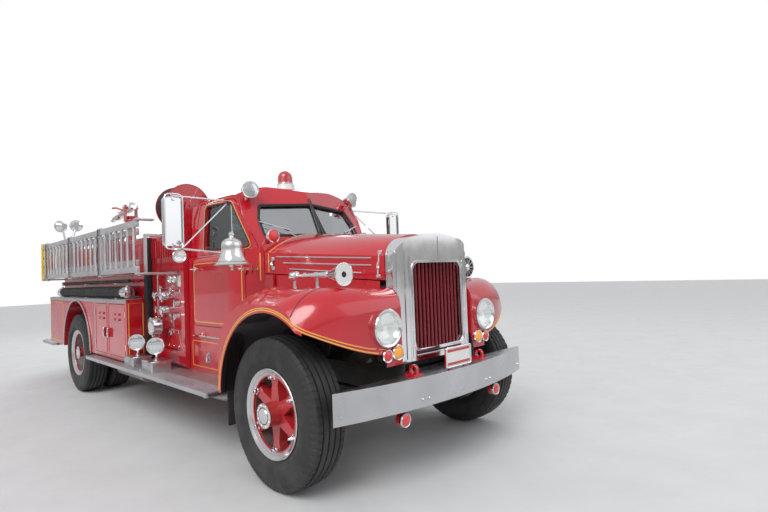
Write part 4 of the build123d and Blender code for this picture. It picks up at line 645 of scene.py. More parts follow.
for side, word in SIDES:
    for place, axle_x, centres, spoke_y, hub_face in (
            ("front", FRONT, [FRONT_TYRE_Y], 1.090, 1.215),
            ("rear", REAR, [REAR_TYRE_Y, REAR_TYRE_Y - DUAL_SPACING], 0.880, 1.130)):
        body = f"front_wheel_{word}" if place == "front" else f"rear_wheels_{word}"
        rings = Mesh()
        for centre in centres:
            tyre(rings, axle_x, side * centre)
        rings.make(f"tyre_detail_{place}_{word}", rubber, body, "tyre", replaces=(f"tyre_{place}_{word}",))
        wheel_trim(axle_x, side, centres, spoke_y, hub_face, f"{place}_{word}", body)

# Lamps: bezel, reflector and lens
glow_bulb = surface("bulb", (0.85, 0.82, 0.72), 0.3, vary=0.02, bump=0.0, glow=0.2, dust=0.0)


def lamp(name, centre, facing, radius, lens, back=True, body="chassis"):
    """A lamp's front: centre is the middle of its face."""
    bright = Mesh()
    revolve(bright, centre, facing, [(radius * 0.80, -0.010), (radius * 0.88, 0.004),
        (radius * 0.97, 0.006), (radius * 1.04, 0.000), (radius * 1.05, -0.010), (radius * 1.02, -0.022)],
        48)
    if back:
        revolve(bright, centre, facing, [(radius * 0.86, 0.0), (radius * 0.82, 0.0006), (0.012, 0.0008),
            (0.0, 0.0008)], 40)
    bright.make(f"{name}_bezel", chrome, body, "chrome")
    revolve(Mesh(), centre, facing, [(radius * 0.87, 0.003), (radius * 0.70, 0.008),
        (radius * 0.45, 0.0125), (radius * 0.2, 0.0145), (0.0, 0.015)], 40).make(f"{name}_lens", lens, body,
        "glass")


# Headlamps in the fenders' noses, with the amber and marker lamps below them
for side, word in SIDES:
    centre = Vector((FRONT + 0.614, side * 0.597, 1.101))
    revolve(Mesh(), centre, (1, 0, 0), [(0.121, -0.084), (0.124, -0.006), (0.132, 0.002), (0.134, 0.010),
        (0.128, 0.017), (0.116, 0.014), (0.108, 0.006), (0.106, -0.004)], 56).make(f"headlamp_ring_{word}",
        chrome, "chassis", "chrome", replaces=("front_lamps",))
    revolve(Mesh(), centre, (1, 0, 0), [(0.107, -0.002), (0.094, -0.020), (0.070, -0.042), (0.040, -0.056),
        (0.014, -0.060), (0.0, -0.060)], 40).make(f"headlamp_reflector_{word}", reflector, "chassis",
        "chrome")
    revolve(Mesh(), centre, (1, 0, 0), [(0.010, -0.060), (0.012, -0.045), (0.018, -0.030), (0.016, -0.020),
        (0.0, -0.012)], 16).make(f"headlamp_bulb_{word}", glow_bulb, "chassis", "glass")
    revolve(Mesh(), centre, (1, 0, 0), [(0.109, 0.004), (0.096, 0.014), (0.070, 0.023), (0.035, 0.029),
        (0.0, 0.031)], 48).make(f"headlamp_glass_{word}", lamp_glass, "chassis", "glass")
    for label, y, z, radius, lens in (("amber", 0.493, 0.920, 0.050, amber),
            ("marker", 0.600, 0.910, 0.042, red_glass)):
        spot = Vector((FRONT + 0.606, side * y, z))
        revolve(Mesh(), spot, (1, 0, 0), [(radius, -0.066), (radius * 1.08, -0.004), (radius * 1.14, 0.004),
            (radius * 1.06, 0.010), (radius * 0.90, 0.008), (radius * 0.84, 0.0)],
            36).make(f"{label}_ring_{word}", chrome, "chassis", "chrome")
        cover = Mesh()
        reach = 0.72 if label == "amber" else 0.55
        revolve(cover, spot, (1, 0, 0), [(radius * 0.90, 0.002), (radius * reach, 0.014),
            (radius * 0.3, 0.020), (0.0, 0.021)], 32)
        cover.make(f"{label}_lens_{word}", lens, "chassis", "red_lens")

# Lamps on stems: columns are name, centre, facing, radius, depth and lens
LAMPS = (
    ("cowl_lamp", (FRONT - 0.855, -0.560, 1.855), (1, 0, 0), 0.062, 0.090, red_glass),
    ("spot_lamp", (FRONT - 1.100, -0.630, 2.303), (1, -0.3, 0), 0.078, 0.110, lamp_glass),
    ("rear_lamp_outer", (BODY_REAR + 0.120, -1.010, 2.420), (-1, -0.3, 0), 0.090, 0.120, lamp_glass),
    ("rear_lamp_inner", (BODY_REAR + 0.120, -0.800, 2.440), (-1, 0.2, 0), 0.090, 0.120, lamp_glass),
    ("box_lamp_front", (FRONT - 2.220, -1.090, 0.830), (1, -0.6, 0), 0.084, 0.120, lamp_glass),
    ("box_lamp_rear", (BODY_FRONT + 0.145, -1.090, 0.830), (1, -0.6, 0), 0.084, 0.120, lamp_glass),
)
for label, centre, facing, radius, depth, lens in LAMPS:
    for side, word in SIDES:
        direction = Vector((facing[0], -side * facing[1], 0)).normalized()
        spot = Vector((centre[0], -side * centre[1], centre[2])) + direction * depth * 0.3
        lamp(f"{label}_{word}", spot, direction, radius, lens)
for side, word in SIDES:
    for z, radius, lens in ((1.180, 0.052, red_glass), (1.050, 0.042, amber)):
        lamp(f"tail_lamp_{round(z * 100)}_{word}", Vector((BODY_REAR - 0.038, side * 0.900, z)), (-1, 0, 0),
            radius * 0.94, lens)
    spot = Vector((FRONT + 0.717, side * 0.560, 0.480))
    lamp(f"low_lamp_{word}", spot, (1, 0, 0), 0.047, red_glass)

# Radiator shell: bright rim round the grille, centre crease, lower bar
shell = skin("radiator_shell")
rim = Mesh()
outline = rounded([(-0.292, 0.911), (0.292, 0.911), (0.292, 1.555), (-0.292, 1.555)], 0.060)
places, normals = land(shell, [(0, y * 1.03, 1.233 + (z - 1.233) * 1.02) for y, z in outline], (-1, 0, 0))
moulding(rim, places, normals, True, 0.016, 0.008)
places, normals = land(shell, [(0, y, 0.868) for y in [-0.27 + 0.02 * i for i in range(28)]], (-1, 0, 0))
moulding(rim, places, normals, False, 0.010, 0.006)
places, normals = land(shell, [(0, 0, 1.575 + 0.01 * i) for i in range(19)], (-1, 0, 0))
moulding(rim, places, normals, False, 0.010, 0.005)
for side in (-1, 1):
    for y, low, high, wide in ((0.326, 0.850, 1.600, 0.020), (0.372, 0.850, 1.640, 0.012)):
        column = [(0, side * y, low + (high - low) * i / 24) for i in range(25)]
        places, normals = land(shell, column, (-1, 0, 0))
        moulding(rim, places, smooth(normals), False, wide, 0.008)
    panel = rounded([(FRONT + 0.462, 1.640), (FRONT + 0.462, 1.180), (FRONT + 0.545, 1.180),
        (FRONT + 0.545, 1.640)], 0.020)
    side_strip(moulding, rim, shell, panel, side, 0.02, True, 3, 0.010, 0.004)
rim.make("grille_surround", chrome, "chassis", "chrome")
# A thin black strip on the shell stands in for the shade in its lower slot: painted shade.
slot_shade_strip = Mesh()
places, normals = land(shell, [(0, -0.262 + 0.021 * i, 0.884) for i in range(26)], (-1, 0, 0))
sweep(slot_shade_strip, places, band(0.014, 0.002, 0.0005), normals)
slot_shade_strip.make("shell_lower_slot_painted_shade", trim_black, "chassis", "black_plastic")

# Grille: thin edges on the slats
slats = Mesh()
for i in range(13):
    y = (i - 6) * 0.576 / 13
    sweep(slats, [(FRONT + 0.5605, y, 0.905), (FRONT + 0.5605, y, 1.561)], band(0.010, 0.002),
        [(1, 0, 0)] * 2)
slats.make("slat_edges", maroon, "chassis", "maroon_paint")

# Bonnet: hinge cover, side mouldings, latches and a gold line at the rear seam
for side, word in SIDES:
    hood = skin(f"hood_{word}")
    strips = Mesh()
    for start, end, drop in ((0.33, -0.62, 0.0), (0.33, -0.55, 0.055), (0.24, -0.48, 0.110)):
        line = [(FRONT + start + (end - start) * i / 40, 1.600 + 0.055 * i / 40 - drop) for i in range(41)]
        side_strip(moulding, strips, hood, line, side, 0.03, False, 3, 0.014, 0.008)
    strips.make(f"hood_mouldings_{word}", chrome, f"hood_{word}", "chrome")
    lines = Mesh()
    across = [(HOOD_REAR + 0.045, side * (0.02 + 0.665 * i / 40), 0) for i in range(41)]
    places, normals = land(hood, across, (0, 0, -1))
    low_places, low_normals = side_line(hood, [(HOOD_REAR + 0.045, 1.70 - 0.17 * i / 8) for i in range(9)],
        side)
    lining(lines, places + low_places, smooth(normals + low_normals))
    lines.make(f"hood_lining_{word}", gold, f"hood_{word}", "red_paint")
    latches = Mesh()
    for x in (HOOD_FRONT - 0.050, HOOD_REAR + 0.100):
        places, normals = side_line(hood, [(x, 1.64), (x, 1.46 if x > FRONT else 1.56)], side, 0.3)
        top, foot = places[0], places[-1]
        out = Vector((0, side, 0))
        tube(latches, [top + out * 0.012, foot + out * 0.014], 0.008)
        for spot in (top, foot):
            block(latches, spot + out * 0.004, (0.044, 0.016, 0.030), 0.005)
        revolve(latches, top * 0.35 + foot * 0.65 + out * 0.010, out,
            [(0.014, 0.0), (0.014, 0.010), (0.009, 0.016), (0.0, 0.018)], 16)
        sweep(latches, [top * 0.6 + foot * 0.4 + out * 0.02, top * 0.35 + foot * 0.65 + out * 0.028],
            band(0.012, 0.005), [out] * 2)
    latches.make(f"hood_latches_{word}", chrome, f"hood_{word}", "chrome")
tube(Mesh(), [(HOOD_FRONT - 0.004, 0, 1.7753), (HOOD_REAR + 0.004, 0, 1.8677)], 0.0038,
    16).make("hood_centre_hinge", chrome, "chassis", "chrome")

# Fenders: gold lines, lip, seam and mud flap
fenders = skin("front_fenders")
for side, word in SIDES:
    lines = Mesh()
    for gap, start, width in ((0.020, 20, 0.009), (0.034, 21, 0.007)):
        side_strip(lining, lines, fenders, arc(ARCH, ARCH_RADIUS + gap, start, 178, 60), side, 0.02, False,
            3, width)
    lines.make(f"fender_lining_{word}", gold, "chassis", "red_paint")
    lip = Mesh()
    places, normals = side_line(fenders, arc(ARCH, 0.646, 12, 180, 60), side, 0.02)
    moulding(lip, [p - Vector((0, side * 0.002, 0)) for p in places], smooth(normals), False, 0.012, 0.006)
    lip.make(f"fender_lip_{word}", paint, "chassis", "red_paint")
    seams = Mesh()
    places = []
    normals = []
    for i in range(41):
        t = math.radians(2 + 112 * i / 40)
        outward = Vector((0, side * math.cos(t), math.sin(t)))
        spot = Vector((FRONT + 0.335, side * 0.800, 0.900))
        hit, normal, _, _ = fenders.ray_cast(spot + outward * 1.5, -outward)
        if hit and (hit - spot).dot(outward) > 0 and hit.z > 1.17:
            places.append(hit)
            normals.append(normal if normal.dot(outward) > 0 else -normal)
    sweep(seams, places, band(0.007, 0.0025, -0.0010), smooth(normals))
    seams.make(f"fender_seam_{word}", trim_black, "chassis", "black_plastic")
    flap = Mesh()
    block(flap, (FRONT - 0.651, side * 1.0, 0.47), (0.012, 0.284, 0.27), 0.003)
    block(flap, (FRONT - 0.6435, side * 1.0, 0.590), (0.006, 0.270, 0.026), 0.002)
    flap.make(f"mud_flap_{word}", rubber, "chassis", "rubber")

# Bumper: bolts, and the blank plate in its frame
bumper = skin("bumper")
hardware = Mesh()
for y in (-1.06, -0.42, -0.36, 0.36, 0.42, 1.06):
    places, normals = land(bumper, [(0, y, 0.600)], (-1, 0, 0))
    bolts(hardware, places, normals[0] if normals else (1, 0, 0), 0.012, 0.009)
hardware.make("bumper_hardware", alloy, "chassis", "aluminium")
plate_frame = Mesh()
outline = rounded([(-0.150, -0.070), (0.150, -0.070), (0.150, 0.070), (-0.150, 0.070)], 0.012)
tube(plate_frame, [(FRONT + 0.766, x, PLATE_Z + z) for x, z in outline], 0.006, 8, True)
plate_frame.make("plate_frame", chrome, "chassis", "chrome")
plate(Mesh(), [(x * 0.96, z * 0.93) for x, z in outline], (FRONT + 0.7625, 0, PLATE_Z), (0, 1, 0),
    (0, 0, 1), 0.0025).make("blank_plate", white, "chassis", "red_paint")
blank_stripe = Mesh()
for z in (-0.048, 0.048):
    sweep(blank_stripe, [(FRONT + 0.7655, -0.135, PLATE_Z + z), (FRONT + 0.7655, 0.135, PLATE_Z + z)],
        band(0.020, 0.0012), [(1, 0, 0)] * 2)
blank_stripe.make("plate_stripes", paint, "chassis", "red_paint")

# Windscreen: rubber, wipers, divider and the mirror inside
SCREEN_LOW = Vector((FRONT - 0.800, 0, 1.870))
SCREEN_HIGH = Vector((FRONT - 1.030, 0, 2.250))
PANE = [(-0.028, 0.012), (-0.028, 0.384), (-0.570, 0.376), (-0.612, 0.215), (-0.600, 0.022)]
for side, word in SIDES:
    corner = Vector((FRONT - 0.932, side * 0.595, 1.845))
    normal = ((corner - SCREEN_LOW).cross(SCREEN_HIGH - SCREEN_LOW) * side).normalized()
    if normal.x < 0:
        normal = -normal
    along = (SCREEN_LOW - corner).normalized()
    upward = normal.cross(along)
    if upward.z < 0:
        upward = -upward
    edge = [SCREEN_LOW + along * x + upward * y for x, y in rounded(PANE, 0.040)]
    edge = dense(edge, 0.03, True)
    sweep(Mesh(), edge, [(-0.013, -0.012), (0.013, -0.012), (0.013, 0.003), (0.006, 0.008), (-0.006, 0.008),
        (-0.013, 0.003)], [normal] * len(edge), True).make(f"windscreen_rubber_{word}", trim_black,
        "chassis", "black_plastic")
    wiper = Mesh()
    pivot = SCREEN_LOW + along * -0.300 + upward * -0.014 + normal * 0.012
    revolve(wiper, pivot, normal, [(0.016, -0.020), (0.016, 0.006), (0.010, 0.014), (0.0, 0.016)], 16)
    tip = SCREEN_LOW + along * -0.500 + upward * 0.120 + normal * 0.022
    tube(wiper, [pivot + normal * 0.010, (pivot + tip) / 2 + normal * 0.012, tip], 0.0045, 8)
    blade = (along * -0.93 + upward * 0.36).normalized()
    sweep(wiper, [tip - blade * 0.16, tip + blade * 0.13], [(-0.004, -0.014), (0.004, -0.014),
        (0.005, 0.004), (-0.005, 0.004)], [normal] * 2)
    wiper.make(f"wiper_{word}", chrome, "chassis", "chrome")
sweep(Mesh(), [SCREEN_LOW + (SCREEN_HIGH - SCREEN_LOW) * t + Vector((0.002, 0, 0)) for t in (0.0, 0.5,
    1.02)], band(0.026, 0.010), [(1, 0, 0.6)] * 3).make("windscreen_divider", trim_black, "chassis",
    "black_plastic")
inner_mirror = Mesh()
revolve(inner_mirror, (FRONT - 1.040, 0.0, 2.080), (-1, 0, 0.1),
    [(0.0, -0.012), (0.040, -0.010), (0.052, 0.0), (0.048, 0.004), (0.0, 0.004)], 28)
tube(inner_mirror, [(FRONT - 1.032, 0, 2.085), (FRONT - 1.040, 0, 2.200)], 0.004, 8)
inner_mirror.make("inside_mirror", chrome, "chassis", "chrome")

WINDOW = [(FRONT - 1.000, 1.775), (FRONT - 1.250, 2.190), (FRONT - 1.650, 2.190), (FRONT - 1.650, 1.775)]
for side, word in SIDES:
    door = skin(f"door_{word}")
    cab = skin("cab")
    out = Vector((0, side, 0))
    lines = Mesh()
    # Lining low on the door and up its rear edge
    inset = rounded([(FRONT - 0.965, 1.070), (FRONT - 0.965, 1.640), (FRONT - 1.840, 1.640),
        (FRONT - 1.840, 1.070)], 0.040)
    side_strip(lining, lines, door, inset, side, 0.03, True, 0)
    around = rounded([(FRONT - 0.972, 1.745), (FRONT - 1.236, 2.216), (FRONT - 1.682, 2.216),
        (FRONT - 1.682, 1.745)], 0.060)
    side_strip(lining, lines, door, around, side, 0.03, True, 1, 0.007)
    lines.make(f"door_lining_{word}", gold, f"door_{word}", "red_paint")
    seal = Mesh()
    grown = [(x + (0.008 if x > FRONT - 1.45 else -0.008), z + (0.008 if z > 2.0 else -0.008)) for x,
        z in rounded(WINDOW, 0.045)]
    side_strip(moulding, seal, door, grown, side, 0.03, True, 0, 0.016, 0.006)
    seal.make(f"door_window_rubber_{word}", trim_black, f"door_{word}", "black_plastic")
    bright = Mesh()
    # Quarter-light post, handle and the moulding below the window
    glass_skin = skin(f"door_glass_{word}")
    side_strip(moulding, bright, glass_skin, [(FRONT - 1.225, 1.785), (FRONT - 1.262, 2.180)], side, 0.05,
        False, 0, 0.014, 0.008)
    handle, normals = side_line(door, [(FRONT - 1.820, 1.590)], side, 1.0)
    if handle:
        spot = handle[0]
        revolve(bright, spot, out, [(0.024, -0.002), (0.024, 0.006), (0.012, 0.012), (0.012, 0.030)], 20)
        tube(bright, [spot + out * 0.034 + Vector((0.020, 0, 0)),
            spot + out * 0.038 + Vector((-0.005, 0, 0)), spot + out * 0.036 + Vector((0.060, 0, -0.002)),
            spot + out * 0.030 + Vector((0.110, 0, -0.006))], 0.0085, 10)
    side_strip(moulding, bright, door, [(FRONT - 1.010, 1.712), (FRONT - 1.800, 1.712)], side, 0.04, False,
        3, 0.012, 0.006)
    bright.make(f"door_bright_{word}", chrome, f"door_{word}", "chrome")
    hinges = Mesh()
    for z in (1.16, 1.56):
        tube(hinges, [(FRONT - 0.921, side * 0.812, z - 0.045), (FRONT - 0.921, side * 0.812, z + 0.045)],
            0.011, 12)
        places, normals = side_line(cab, [(FRONT - 0.880, z)], side, 1.0)
        for spot in places:
            block(hinges, spot, (0.055, 0.008, 0.060), 0.003)
            block(hinges, (FRONT - 0.908, side * 0.808, z), (0.026, 0.010, 0.060), 0.003)
    hinges.make(f"door_hinges_{word}", paint, "chassis", "red_paint")
    gutter = Mesh()
    line = [(FRONT - 0.965, 1.835), (FRONT - 1.205, 2.262), (FRONT - 1.50, 2.268), (FRONT - 1.80, 2.258),
        (FRONT - 1.905, 2.10), (FRONT - 1.915, 1.86)]
    side_strip(moulding, gutter, cab, line, side, 0.03, False, 4, 0.012, 0.012)
    gutter.make(f"roof_gutter_{word}", paint, "chassis", "red_paint")
    sill = Mesh()
    side_strip(moulding, sill, cab, [(FRONT - 0.80, 0.930), (FRONT - 1.90, 0.930)], side, 0.05, False, 0,
        0.020, 0.010)
    sill.make(f"sill_strip_{word}", chrome, "chassis", "chrome")
    latch = Mesh()
    places, normals = side_line(cab, [(FRONT - 1.560, 0.735)], side, 1.0)
    for spot in places:
        block(latch, spot, (0.050, 0.012, 0.100), 0.005)
        tube(latch, [spot + out * 0.014 + Vector((0, 0, 0.035)), spot + out * 0.022,
            spot + out * 0.020 + Vector((0, 0, -0.040))], 0.009, 10)
    latch.make(f"sill_latch_{word}", chrome, "chassis", "chrome")
    sill_lines = Mesh()
    frame_line = rounded([(FRONT - 0.80, 0.635), (FRONT - 1.90, 0.635), (FRONT - 1.90, 0.880),
        (FRONT - 0.80, 0.880)], 0.02)
    side_strip(lining, sill_lines, cab, frame_line, side, 0.04, True, 0, 0.007)
    # Lining down the cowl behind the bonnet
    side_strip(lining, sill_lines, cab, [(FRONT - 0.800, 1.70), (FRONT - 0.800, 1.46)], side, 0.03, False, 3)
    sill_lines.make(f"cab_lining_{word}", gold, "chassis", "red_paint")

# Inside the cab: dashboard, dials, padded bench, pedals
sweep(Mesh(), [(FRONT - 0.870, -0.640, 1.700), (FRONT - 0.870, 0.0, 1.712), (FRONT - 0.870, 0.640, 1.700)],
    [(-0.030, -0.110), (0.035, -0.110), (0.060, -0.060), (0.060, 0.020), (0.020, 0.045),
    (-0.030, 0.045)]).make("dashboard", paint, "chassis", "red_paint")
dials = Mesh()
rings = Mesh()
for y, radius in ((0.300, 0.050), (0.410, 0.050), (0.500, 0.026), (0.220, 0.026)):
    revolve(dials, (FRONT - 0.9305, y, 1.685), (-1, 0, 0), [(radius, 0.001), (radius * 0.5, 0.0015),
        (0.0, 0.0015)], 28)
    revolve(rings, (FRONT - 0.930, y, 1.685), (-1, 0, 0), [(radius, -0.002), (radius * 1.12, 0.001),
        (radius * 1.06, 0.006), (radius * 0.98, 0.004)], 28)
dials.make("dash_dials", dial, "chassis", "black_plastic")
rings.make("dash_rings", chrome, "chassis", "chrome")
bench = Mesh()
SEAT_FRONT = CAB_REAR + 0.590
for i in range(14):
    y = -0.650 + 0.100 * i
    block(bench, (SEAT_FRONT - 0.190, y, 1.370), (0.400, 0.106, 0.130), 0.035, segments=4)
    lean = Matrix.Rotation(math.radians(-10), 4, "Y")
    block(bench, (SEAT_FRONT - 0.445, y, 1.640), (0.105, 0.106, 0.410), 0.035, lean, 4)
block(bench, (SEAT_FRONT - 0.265, 0, 1.170), (0.490, 1.380, 0.270), 0.020)
padding = bench.make("bench_seat", vinyl, "chassis", "seat_vinyl", replaces=("seat",))
pedals = Mesh()
for y in (0.30, 0.46):
    block(pedals, (FRONT - 0.900, y, 1.150), (0.020, 0.070, 0.090), 0.006,
        Matrix.Rotation(math.radians(25), 4, "Y"))
    tube(pedals, [(FRONT - 0.905, y, 1.12), (FRONT - 0.860, y, 1.035)], 0.008, 8)
pedals.make("pedals", trim_black, "chassis", "black_plastic")

# Beacon: white base, red dome, and the lamp inside
BEACON = Vector((FRONT - 1.440, 0, 2.401))
revolve(Mesh(), BEACON, (0, 0, 1), [(0.0, 0.0), (0.103, 0.0), (0.1035, 0.008), (0.099, 0.014),
    (0.095, 0.058), (0.090, 0.062), (0.082, 0.064), (0.0, 0.064)], 48).make("beacon_base", white, "chassis",
    "red_lens", replaces=("beacon",))
ring = Mesh()
revolve(ring, BEACON, (0, 0, 1), [(0.084, 0.062), (0.087, 0.070), (0.083, 0.078), (0.079, 0.078)], 48)
revolve(ring, BEACON + Vector((0, 0, 0.085)), (0, 0, 1), [(0.0, 0.0), (0.030, 0.0), (0.026, 0.018),
    (0.010, 0.020), (0.010, 0.050), (0.0, 0.052)], 24)
revolve(ring, BEACON + Vector((0.012, 0, 0.125)), (-1, 0, 0.2), [(0.046, -0.004), (0.036, 0.012),
    (0.014, 0.024), (0.0, 0.026)], 28)
ring.make("beacon_fittings", chrome, "chassis", "chrome")
dome = Mesh()
profile = [(0.081, 0.064), (0.0795, 0.090), (0.0785, 0.136)]
profile += [(0.078 * math.cos(math.radians(a)), 0.136 + 0.0775 * math.sin(math.radians(a)))
    for a in range(12, 90, 12)]
revolve(dome, BEACON, (0, 0, 1), profile + [(0.0, 0.2135)], 48)
dome.make("beacon_dome_glass", dome_glass, "chassis", "red_lens")

# Pump panel: dials, caps, pull rods, drain cocks, bright frame, inlet, blank label and guard
for side, word in SIDES:
    out = Vector((0, side, 0))
    face_y = side * 0.855
    dials = Mesh()
    rings = Mesh()
    marks = Mesh()
    for back, height, radius in ((2.115, 1.480, 0.062), (2.245, 1.500, 0.040), (2.355, 1.500, 0.040)):
        spot = Vector((FRONT - back, face_y + side * 0.026, height))
        revolve(dials, spot, out, [(radius * 0.88, 0.0008), (radius * 0.4, 0.0014), (0.0, 0.0014)], 32)
        revolve(rings, spot, out, [(radius * 1.02, -0.014), (radius * 1.04, 0.002), (radius * 0.96, 0.007),
            (radius * 0.88, 0.003)], 36)
        for k in range(11):
            t = math.radians(-120 + 24 * k)
            at = spot + Vector((math.sin(t), 0, math.cos(t))) * radius * 0.70 + out * 0.0014
            block(marks, at, (0.0022, 0.001, radius * 0.12), 0.0003, Matrix.Rotation(t, 4, "Y"), 1)
        sweep(marks, [spot + out * 0.002, spot + out * 0.002 + Vector((0.55 * radius, 0, 0.35 * radius))],
            band(0.0035, 0.0008), [out] * 2)
    dials.make(f"pump_dials_{word}", dial, "chassis", "pale_steel")
    rings.make(f"pump_dial_rings_{word}", chrome, "chassis", "chrome")
    marks.make(f"pump_dial_marks_{word}", trim_black, "chassis", "black_plastic")
    metal = Mesh()
    # Lugs and rims on the caps
    for back, height, radius, length in ((2.480, 1.010, 0.105, 0.190), (2.300, 1.330, 0.052, 0.150),
            (2.300, 1.180, 0.052, 0.150), (2.560, 1.330, 0.044, 0.120)):
        spot = Vector((FRONT - back, face_y + side * length, height))
        revolve(metal, spot, out, [(radius * 0.86, -0.006), (radius * 0.86, 0.004), (radius * 0.70, 0.009),
            (radius * 0.3, 0.010), (0.0, 0.010)], 32)
        for k in range(3):
            t = math.radians(30 + 120 * k)
            at = spot + Vector((math.cos(t), 0, math.sin(t))) * radius * 1.02 - out * radius * 0.35
            block(metal, at, (0.026, radius * 0.5, 0.022), 0.006, Matrix.Rotation(-t, 4, "Y"))
    # Pull rods with tee handles
    for back, height in ((2.080, 1.250), (2.080, 1.120), (2.170, 1.380), (2.430, 1.400), (2.560, 1.180)):
        foot = Vector((FRONT - back, face_y, height))
        revolve(metal, foot, out, [(0.022, 0.0), (0.022, 0.006), (0.010, 0.012)], 20)
        tube(metal, [foot, foot + out * 0.100], 0.007, 10)
        tube(metal, [foot + out * 0.100 - Vector((0, 0, 0.035)), foot + out * 0.104,
            foot + out * 0.100 + Vector((0, 0, 0.035))], 0.009, 10)
    # Drain cocks along the foot, and the red inlet's bright flange
    for i in range(4):
        foot = Vector((FRONT - 2.150 - 0.115 * i, face_y, 0.955))
        tube(metal, [foot, foot + out * 0.030, foot + out * 0.034 - Vector((0, 0, 0.020))], 0.006, 8)
        block(metal, foot + out * 0.036 + Vector((0, 0, 0.008)), (0.034, 0.008, 0.010), 0.003)
    revolve(metal, (INLET_X, face_y, INLET_Z), out, [(0.130, 0.0), (0.130, 0.010), (0.118, 0.014),
        (0.080, 0.014)], 40)
    # Rounded bright frame of the panel, with screws
    outline = rounded([(PUMP_FRONT - 0.083, 0.760), (PUMP_REAR + 0.123, 0.760), (PUMP_REAR + 0.123, 1.584),
        (PUMP_FRONT - 0.083, 1.584)], 0.060)
    ring = [Vector((x, face_y + side * 0.003, z)) for x, z in outline]
    sweep(metal, ring, band(0.012, 0.005), [out] * len(ring), True)
    screws = [Vector((PUMP_REAR + 0.160 + 0.125 * i, face_y, z)) for i in range(6) for z in (0.790, 1.555)]
    bolts(metal, screws, out, 0.006, 0.004)
    metal.make(f"pump_metalwork_{word}", chrome, "chassis", "chrome")
    revolve(Mesh(), (INLET_X, face_y, INLET_Z), out, [(0.078, 0.012), (0.078, 0.096), (0.086, 0.100),
        (0.086, 0.104)], 32).make(f"pump_inlet_{word}", paint, "chassis", "red_paint")
    plate(Mesh(), rounded([(-0.050, -0.022), (0.050, -0.022), (0.050, 0.022), (-0.050, 0.022)], 0.006),
        (FRONT - 2.470, face_y + side * 0.0005, 1.500), (-side, 0, 0), (0, 0, 1),
        0.002).make(f"blank_label_{word}", alloy, "chassis", "aluminium")
    block(Mesh(), (PUMP_REAR + 0.045, side * 0.925, 1.284), (0.088, 0.078, 1.380),
        0.012).make(f"guard_cover_{word}", trim_black, "chassis", "black_plastic")

# Rear body: bright lip over the lockers, louvres, handles, lining, arch bead
body = skin("wheel_housings")
for side, word in SIDES:
    out = Vector((0, side, 0))
    lip = Mesh()
    for y, z, wide, high, up in ((LOCKER_FACE, 1.270, 0.040, 0.006, out),
            (1.050, 1.2935, 0.190, 0.004, (0, 0, 1))):
        sweep(lip, [(BODY_FRONT - 0.005, side * y, z), (BODY_REAR + 0.005, side * y, z)], band(wide, high),
            [up] * 2)
    lip.make(f"locker_lip_{word}", alloy, "chassis", "aluminium")
    lines = Mesh()
    rear_panel = rounded([(REAR - 0.700, 0.640), (BODY_REAR + 0.060, 0.640), (BODY_REAR + 0.060, 1.220),
        (REAR - 0.700, 1.220)], 0.02)
    side_strip(lining, lines, body, rear_panel, side, 0.04, True, 0, 0.008)
    ring = [Vector((BODY_FRONT, side * y, z)) for y, z in ((0.975, 0.630), (1.128, 0.630), (1.128, 1.245),
        (0.975, 1.245))]
    sweep(lines, ring, band(0.010, 0.0012, 0.0006), [(1, 0, 0)] * 4, True)
    lines.make(f"body_lining_{word}", gold, "chassis", "red_paint")
    bead = Mesh()
    ring = arc(REAR_ARCH, 0.661, 2, 178, 60)
    places = [Vector((x, side * 1.162, z)) for x, z in ring]
    moulding(bead, places, [out] * len(places), False, 0.020, 0.008)
    bead.make(f"rear_arch_bead_{word}", alloy, "chassis", "aluminium")
    for place, x_from, x_to in (("front", BODY_FRONT - 0.040, FRONT - 3.525),
            ("rear", FRONT - 3.555, REAR + 0.888)):
        middle = (x_from + x_to) / 2
        owner = f"locker_door_{place}_{word}"
        vents = Mesh()
        for row in range(2):
            for column in (-1, 1):
                for k, (wide, lift) in enumerate(((0.026, 0.0100), (0.018, 0.0135))):
                    outline = slot_outline(0, 0, 0.104 - 0.020 * k, wide)
                    plate(vents, outline, (middle + column * 0.070, side * (LOCKER_FACE + lift - 0.001),
                        1.120 - row * 0.060), (-side, 0, 0), (0, 0, 1), 0.003)
        frame_line = rounded([(x_from - 0.022, 0.664), (x_to + 0.022, 0.664), (x_to + 0.022, 1.216),
            (x_from - 0.022, 1.216)], 0.02)
        ring = [Vector((x, side * LOCKER_FACE, z)) for x, z in frame_line]
        sweep(vents, ring, band(0.010, 0.003), [out] * len(ring), True)
        vents.make(f"locker_louvres_{place}_{word}", paint, owner, "red_paint")
        pull = Mesh()
        handle_x = LOCKER_POST_X + (0.075 if place == "front" else -0.075)
        plate(pull, slot_outline(0, 0, 0.118, 0.034), (handle_x, side * 1.1775, 0.900), (0, 0, 1),
            (side, 0, 0), 0.003)
        block(pull, (handle_x, side * 1.184, 0.900), (0.012, 0.010, 0.060), 0.004)
        for z in (0.76, 1.12):
            hinge_x = x_from + 0.006 if place == "front" else x_to - 0.006
            tube(pull, [(hinge_x, side * 1.153, z - 0.035), (hinge_x, side * 1.153, z + 0.035)], 0.006, 10)
        pull.make(f"locker_handle_{place}_{word}", chrome, owner, "chrome")

